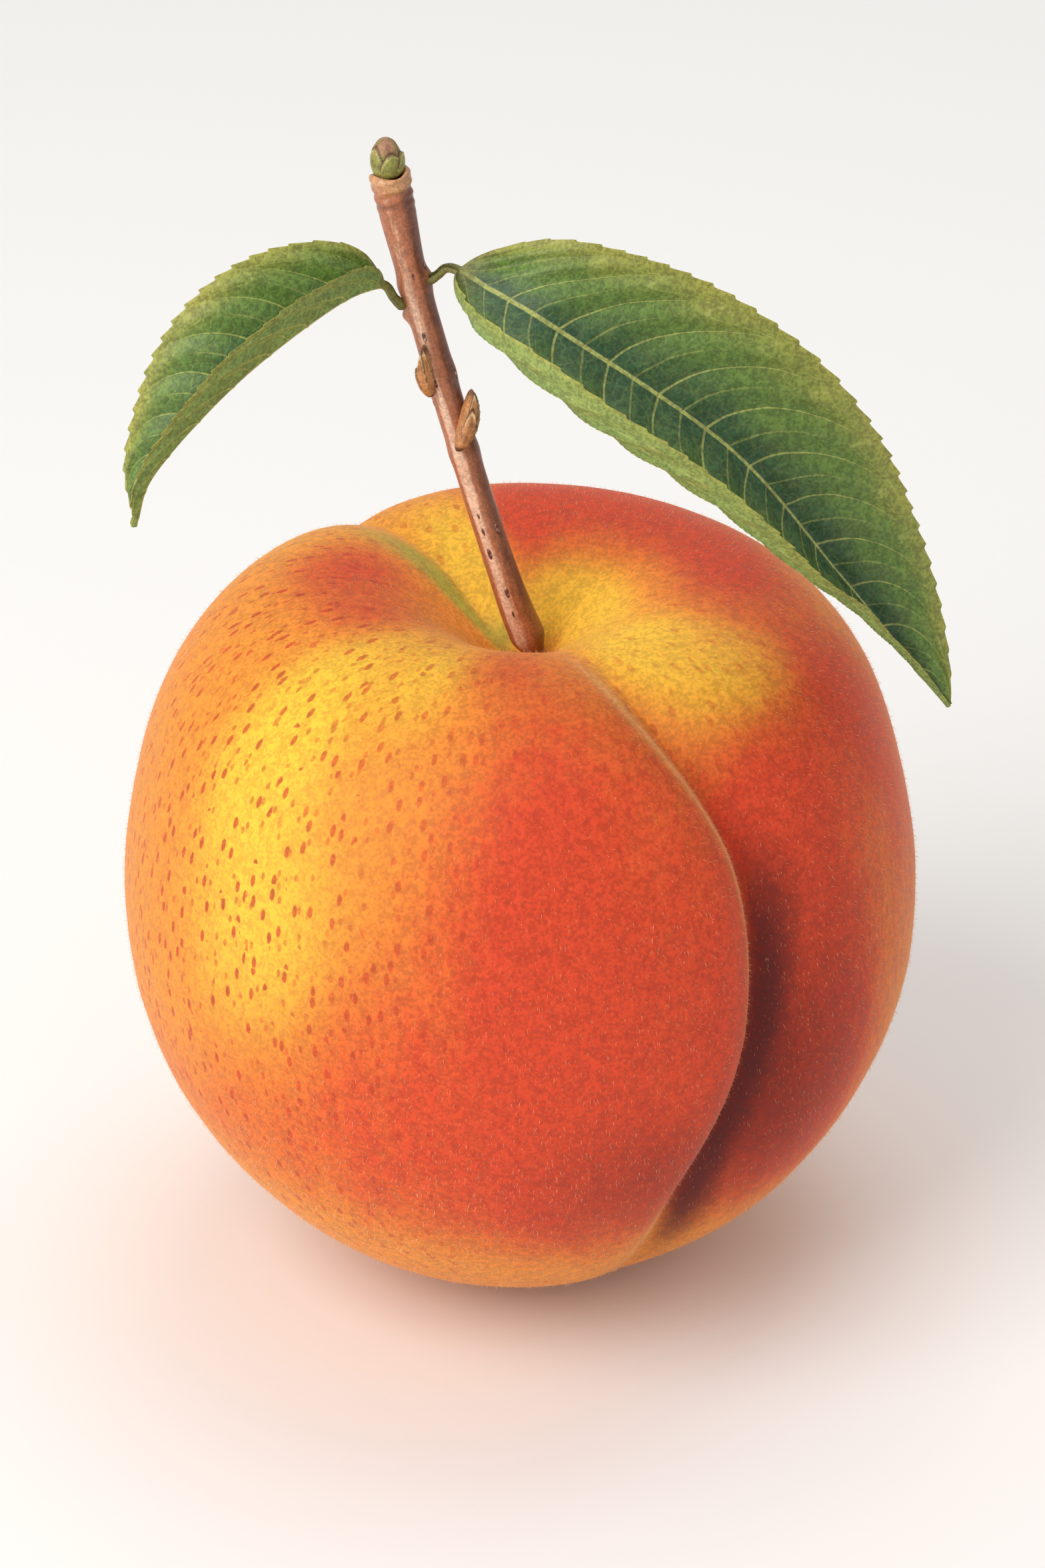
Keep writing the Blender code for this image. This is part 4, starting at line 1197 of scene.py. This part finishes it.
def build_floor_material(colour):
    material, tree, shader = new_material("pale_floor")
    position = put(tree, "ShaderNodeTexCoord").outputs["Object"]
    cloud = times(tree, noise(tree, position, 6, 2.0), 0.04)
    tone = blend_colour(tree, cloud, colour, (0.8, 0.8, 0.8))
    tree.links.new(tone, shader.inputs["Base Color"])
    shader.inputs["Roughness"].default_value = 0.85
    shader.inputs["Specular IOR Level"].default_value = 0.1
    return material


def add_lamp(name, place, size, power, colour=(1, 1, 1)):
    lamp = bpy.data.lights.new(name, "AREA")
    lamp.size = size
    lamp.energy = power
    lamp.color = colour
    holder = bpy.data.objects.new(name, lamp)
    holder.location = place
    holder.rotation_euler = (Vector(LAMP_TARGET) - Vector(place)).to_track_quat("-Z", "Y").to_euler()
    bpy.context.scene.collection.objects.link(holder)


def build_stage(settings):
    scene = bpy.context.scene
    scene.view_settings.view_transform = "Standard"
    floor_mesh = bpy.data.meshes.new("floor")
    corners = [(x * FLOOR_REACH, y * FLOOR_REACH, 0) for x, y in ((-1, -1), (1, -1), (1, 1), (-1, 1))]
    floor_mesh.from_pydata(corners, [], [(0, 1, 2, 3)])
    floor_mesh.materials.append(build_floor_material(settings.floor))
    floor = bpy.data.objects.new("floor", floor_mesh)
    scene.collection.objects.link(floor)

    world = bpy.data.worlds.new("studio")
    world.use_nodes = True
    background = world.node_tree.nodes["Background"]
    background.inputs["Color"].default_value = WORLD_COLOUR
    background.inputs["Strength"].default_value = WORLD_STRENGTH
    scene.world = world
    add_lamp("key", (-0.42, -0.40, 0.62), 0.55, 4.0, (1.0, 0.97, 0.93))
    add_lamp("top", (0.10, 0.25, 0.75), 0.5, 1.5)
    add_lamp("left", (-0.60, -0.42, 0.10), 0.30, 1.0)

    up = Vector((0, math.sin(settings.elevation), math.cos(settings.elevation)))
    ahead = Vector((0, math.cos(settings.elevation), -math.sin(settings.elevation)))
    aim = Vector((AIM_RIGHT, 0, CENTRE_HEIGHT)) + up * AIM_UP
    camera = bpy.data.cameras.new("camera")
    camera.lens = settings.lens
    camera.sensor_width = 36
    camera.clip_start = 0.01
    holder = bpy.data.objects.new("camera", camera)
    holder.location = aim - ahead * settings.distance
    holder.rotation_euler = ahead.to_track_quat("-Z", "Y").to_euler()
    scene.collection.objects.link(holder)
    scene.camera = holder


# ---------------------------------------------------------------- Operators

class PEACH_OT_stage(bpy.types.Operator):
    """Adds the floor, the lights and the camera"""
    bl_idname = "peach.stage"
    bl_label = "Stage"

    def execute(self, context):
        build_stage(context.scene.peach_stage)
        return {"FINISHED"}


class PEACH_OT_fruit(bpy.types.Operator):
    """Builds the fruit with its skin, and the fuzz on it"""
    bl_idname = "peach.fruit"
    bl_label = "Fruit"

    def execute(self, context):
        settings = context.scene.peach_fruit
        fruit = build_fruit(settings)
        attach(fruit, "fruit")
        if settings.fuzz_density > 0:
            hair = hair_shape(settings.fuzz_length, settings.fuzz_width)
            fuzz = scatter("peach_fuzz", fruit, hair, build_fuzz_material(settings), settings.fuzz_density,
                           (0.5, 1.2), 0.5, 7)
            attach(fuzz, "fruit")
        return {"FINISHED"}


class PEACH_OT_twig(bpy.types.Operator):
    """Builds the twig and the pores on its bark"""
    bl_idname = "peach.twig"
    bl_label = "Twig"

    def execute(self, context):
        settings = context.scene.peach_twig
        twig = build_twig(settings)
        attach(twig, "twig")
        pores = scatter("peach_twig_pores", twig, pore_shape(), build_pore_material(settings),
                        settings.pore_density, (0.5, 1.1), 0.06, 4)
        attach(pores, "twig")
        return {"FINISHED"}


class PEACH_OT_buds(bpy.types.Operator):
    """Builds the end bud and the two side buds"""
    bl_idname = "peach.buds"
    bl_label = "Buds"

    def execute(self, context):
        settings = context.scene.peach_buds
        attach(build_end_bud(settings), "end_bud")
        dry = build_bud_material("dry_bud_scale", settings.tan, settings.brown, settings.brown,
                                 settings.tan_edge)
        for node, bud in SIDE_BUDS.items():
            attach(build_side_bud("peach_" + node, bud, dry), node)
        return {"FINISHED"}


class PEACH_OT_leaves(bpy.types.Operator):
    """Builds the two leaves with their petioles"""
    bl_idname = "peach.leaves"
    bl_label = "Leaves"

    def execute(self, context):
        settings = context.scene.peach_leaves
        attach(build_leaf("peach_right_leaf", RIGHT_LEAF, settings), "right_leaf")
        attach(build_leaf("peach_left_leaf", LEFT_LEAF, settings), "left_leaf")
        return {"FINISHED"}


class PEACH_PT_panel(bpy.types.Panel):
    """Lists the peach's parts and their settings"""
    bl_idname = "PEACH_PT_panel"
    bl_label = "Peach"
    bl_space_type = "VIEW_3D"
    bl_region_type = "UI"
    bl_category = "Peach"

    def draw(self, context):
        for title, operator, settings in PARTS:
            box = self.layout.box()
            box.operator(operator.bl_idname, text=operator.bl_label)
            group = getattr(context.scene, title)
            for name in settings.__annotations__:
                box.prop(group, name)


PARTS = [
    ("peach_stage", PEACH_OT_stage, StageSettings),
    ("peach_fruit", PEACH_OT_fruit, FruitSettings),
    ("peach_twig", PEACH_OT_twig, TwigSettings),
    ("peach_buds", PEACH_OT_buds, BudSettings),
    ("peach_leaves", PEACH_OT_leaves, LeafSettings),
]


def register():
    for title, operator, settings in PARTS:
        bpy.utils.register_class(settings)
        bpy.utils.register_class(operator)
        setattr(bpy.types.Scene, title, bpy.props.PointerProperty(type=settings))
    bpy.utils.register_class(PEACH_PT_panel)


def unregister():
    bpy.utils.unregister_class(PEACH_PT_panel)
    for title, operator, settings in reversed(PARTS):
        delattr(bpy.types.Scene, title)
        bpy.utils.unregister_class(operator)
        bpy.utils.unregister_class(settings)


def main():
    register()
    build_stipple_group()
    build_vein_group()
    bpy.ops.peach.stage()
    bpy.ops.peach.fruit()
    bpy.ops.peach.twig()
    bpy.ops.peach.buds()
    bpy.ops.peach.leaves()


if __name__ == "__main__":
    main()
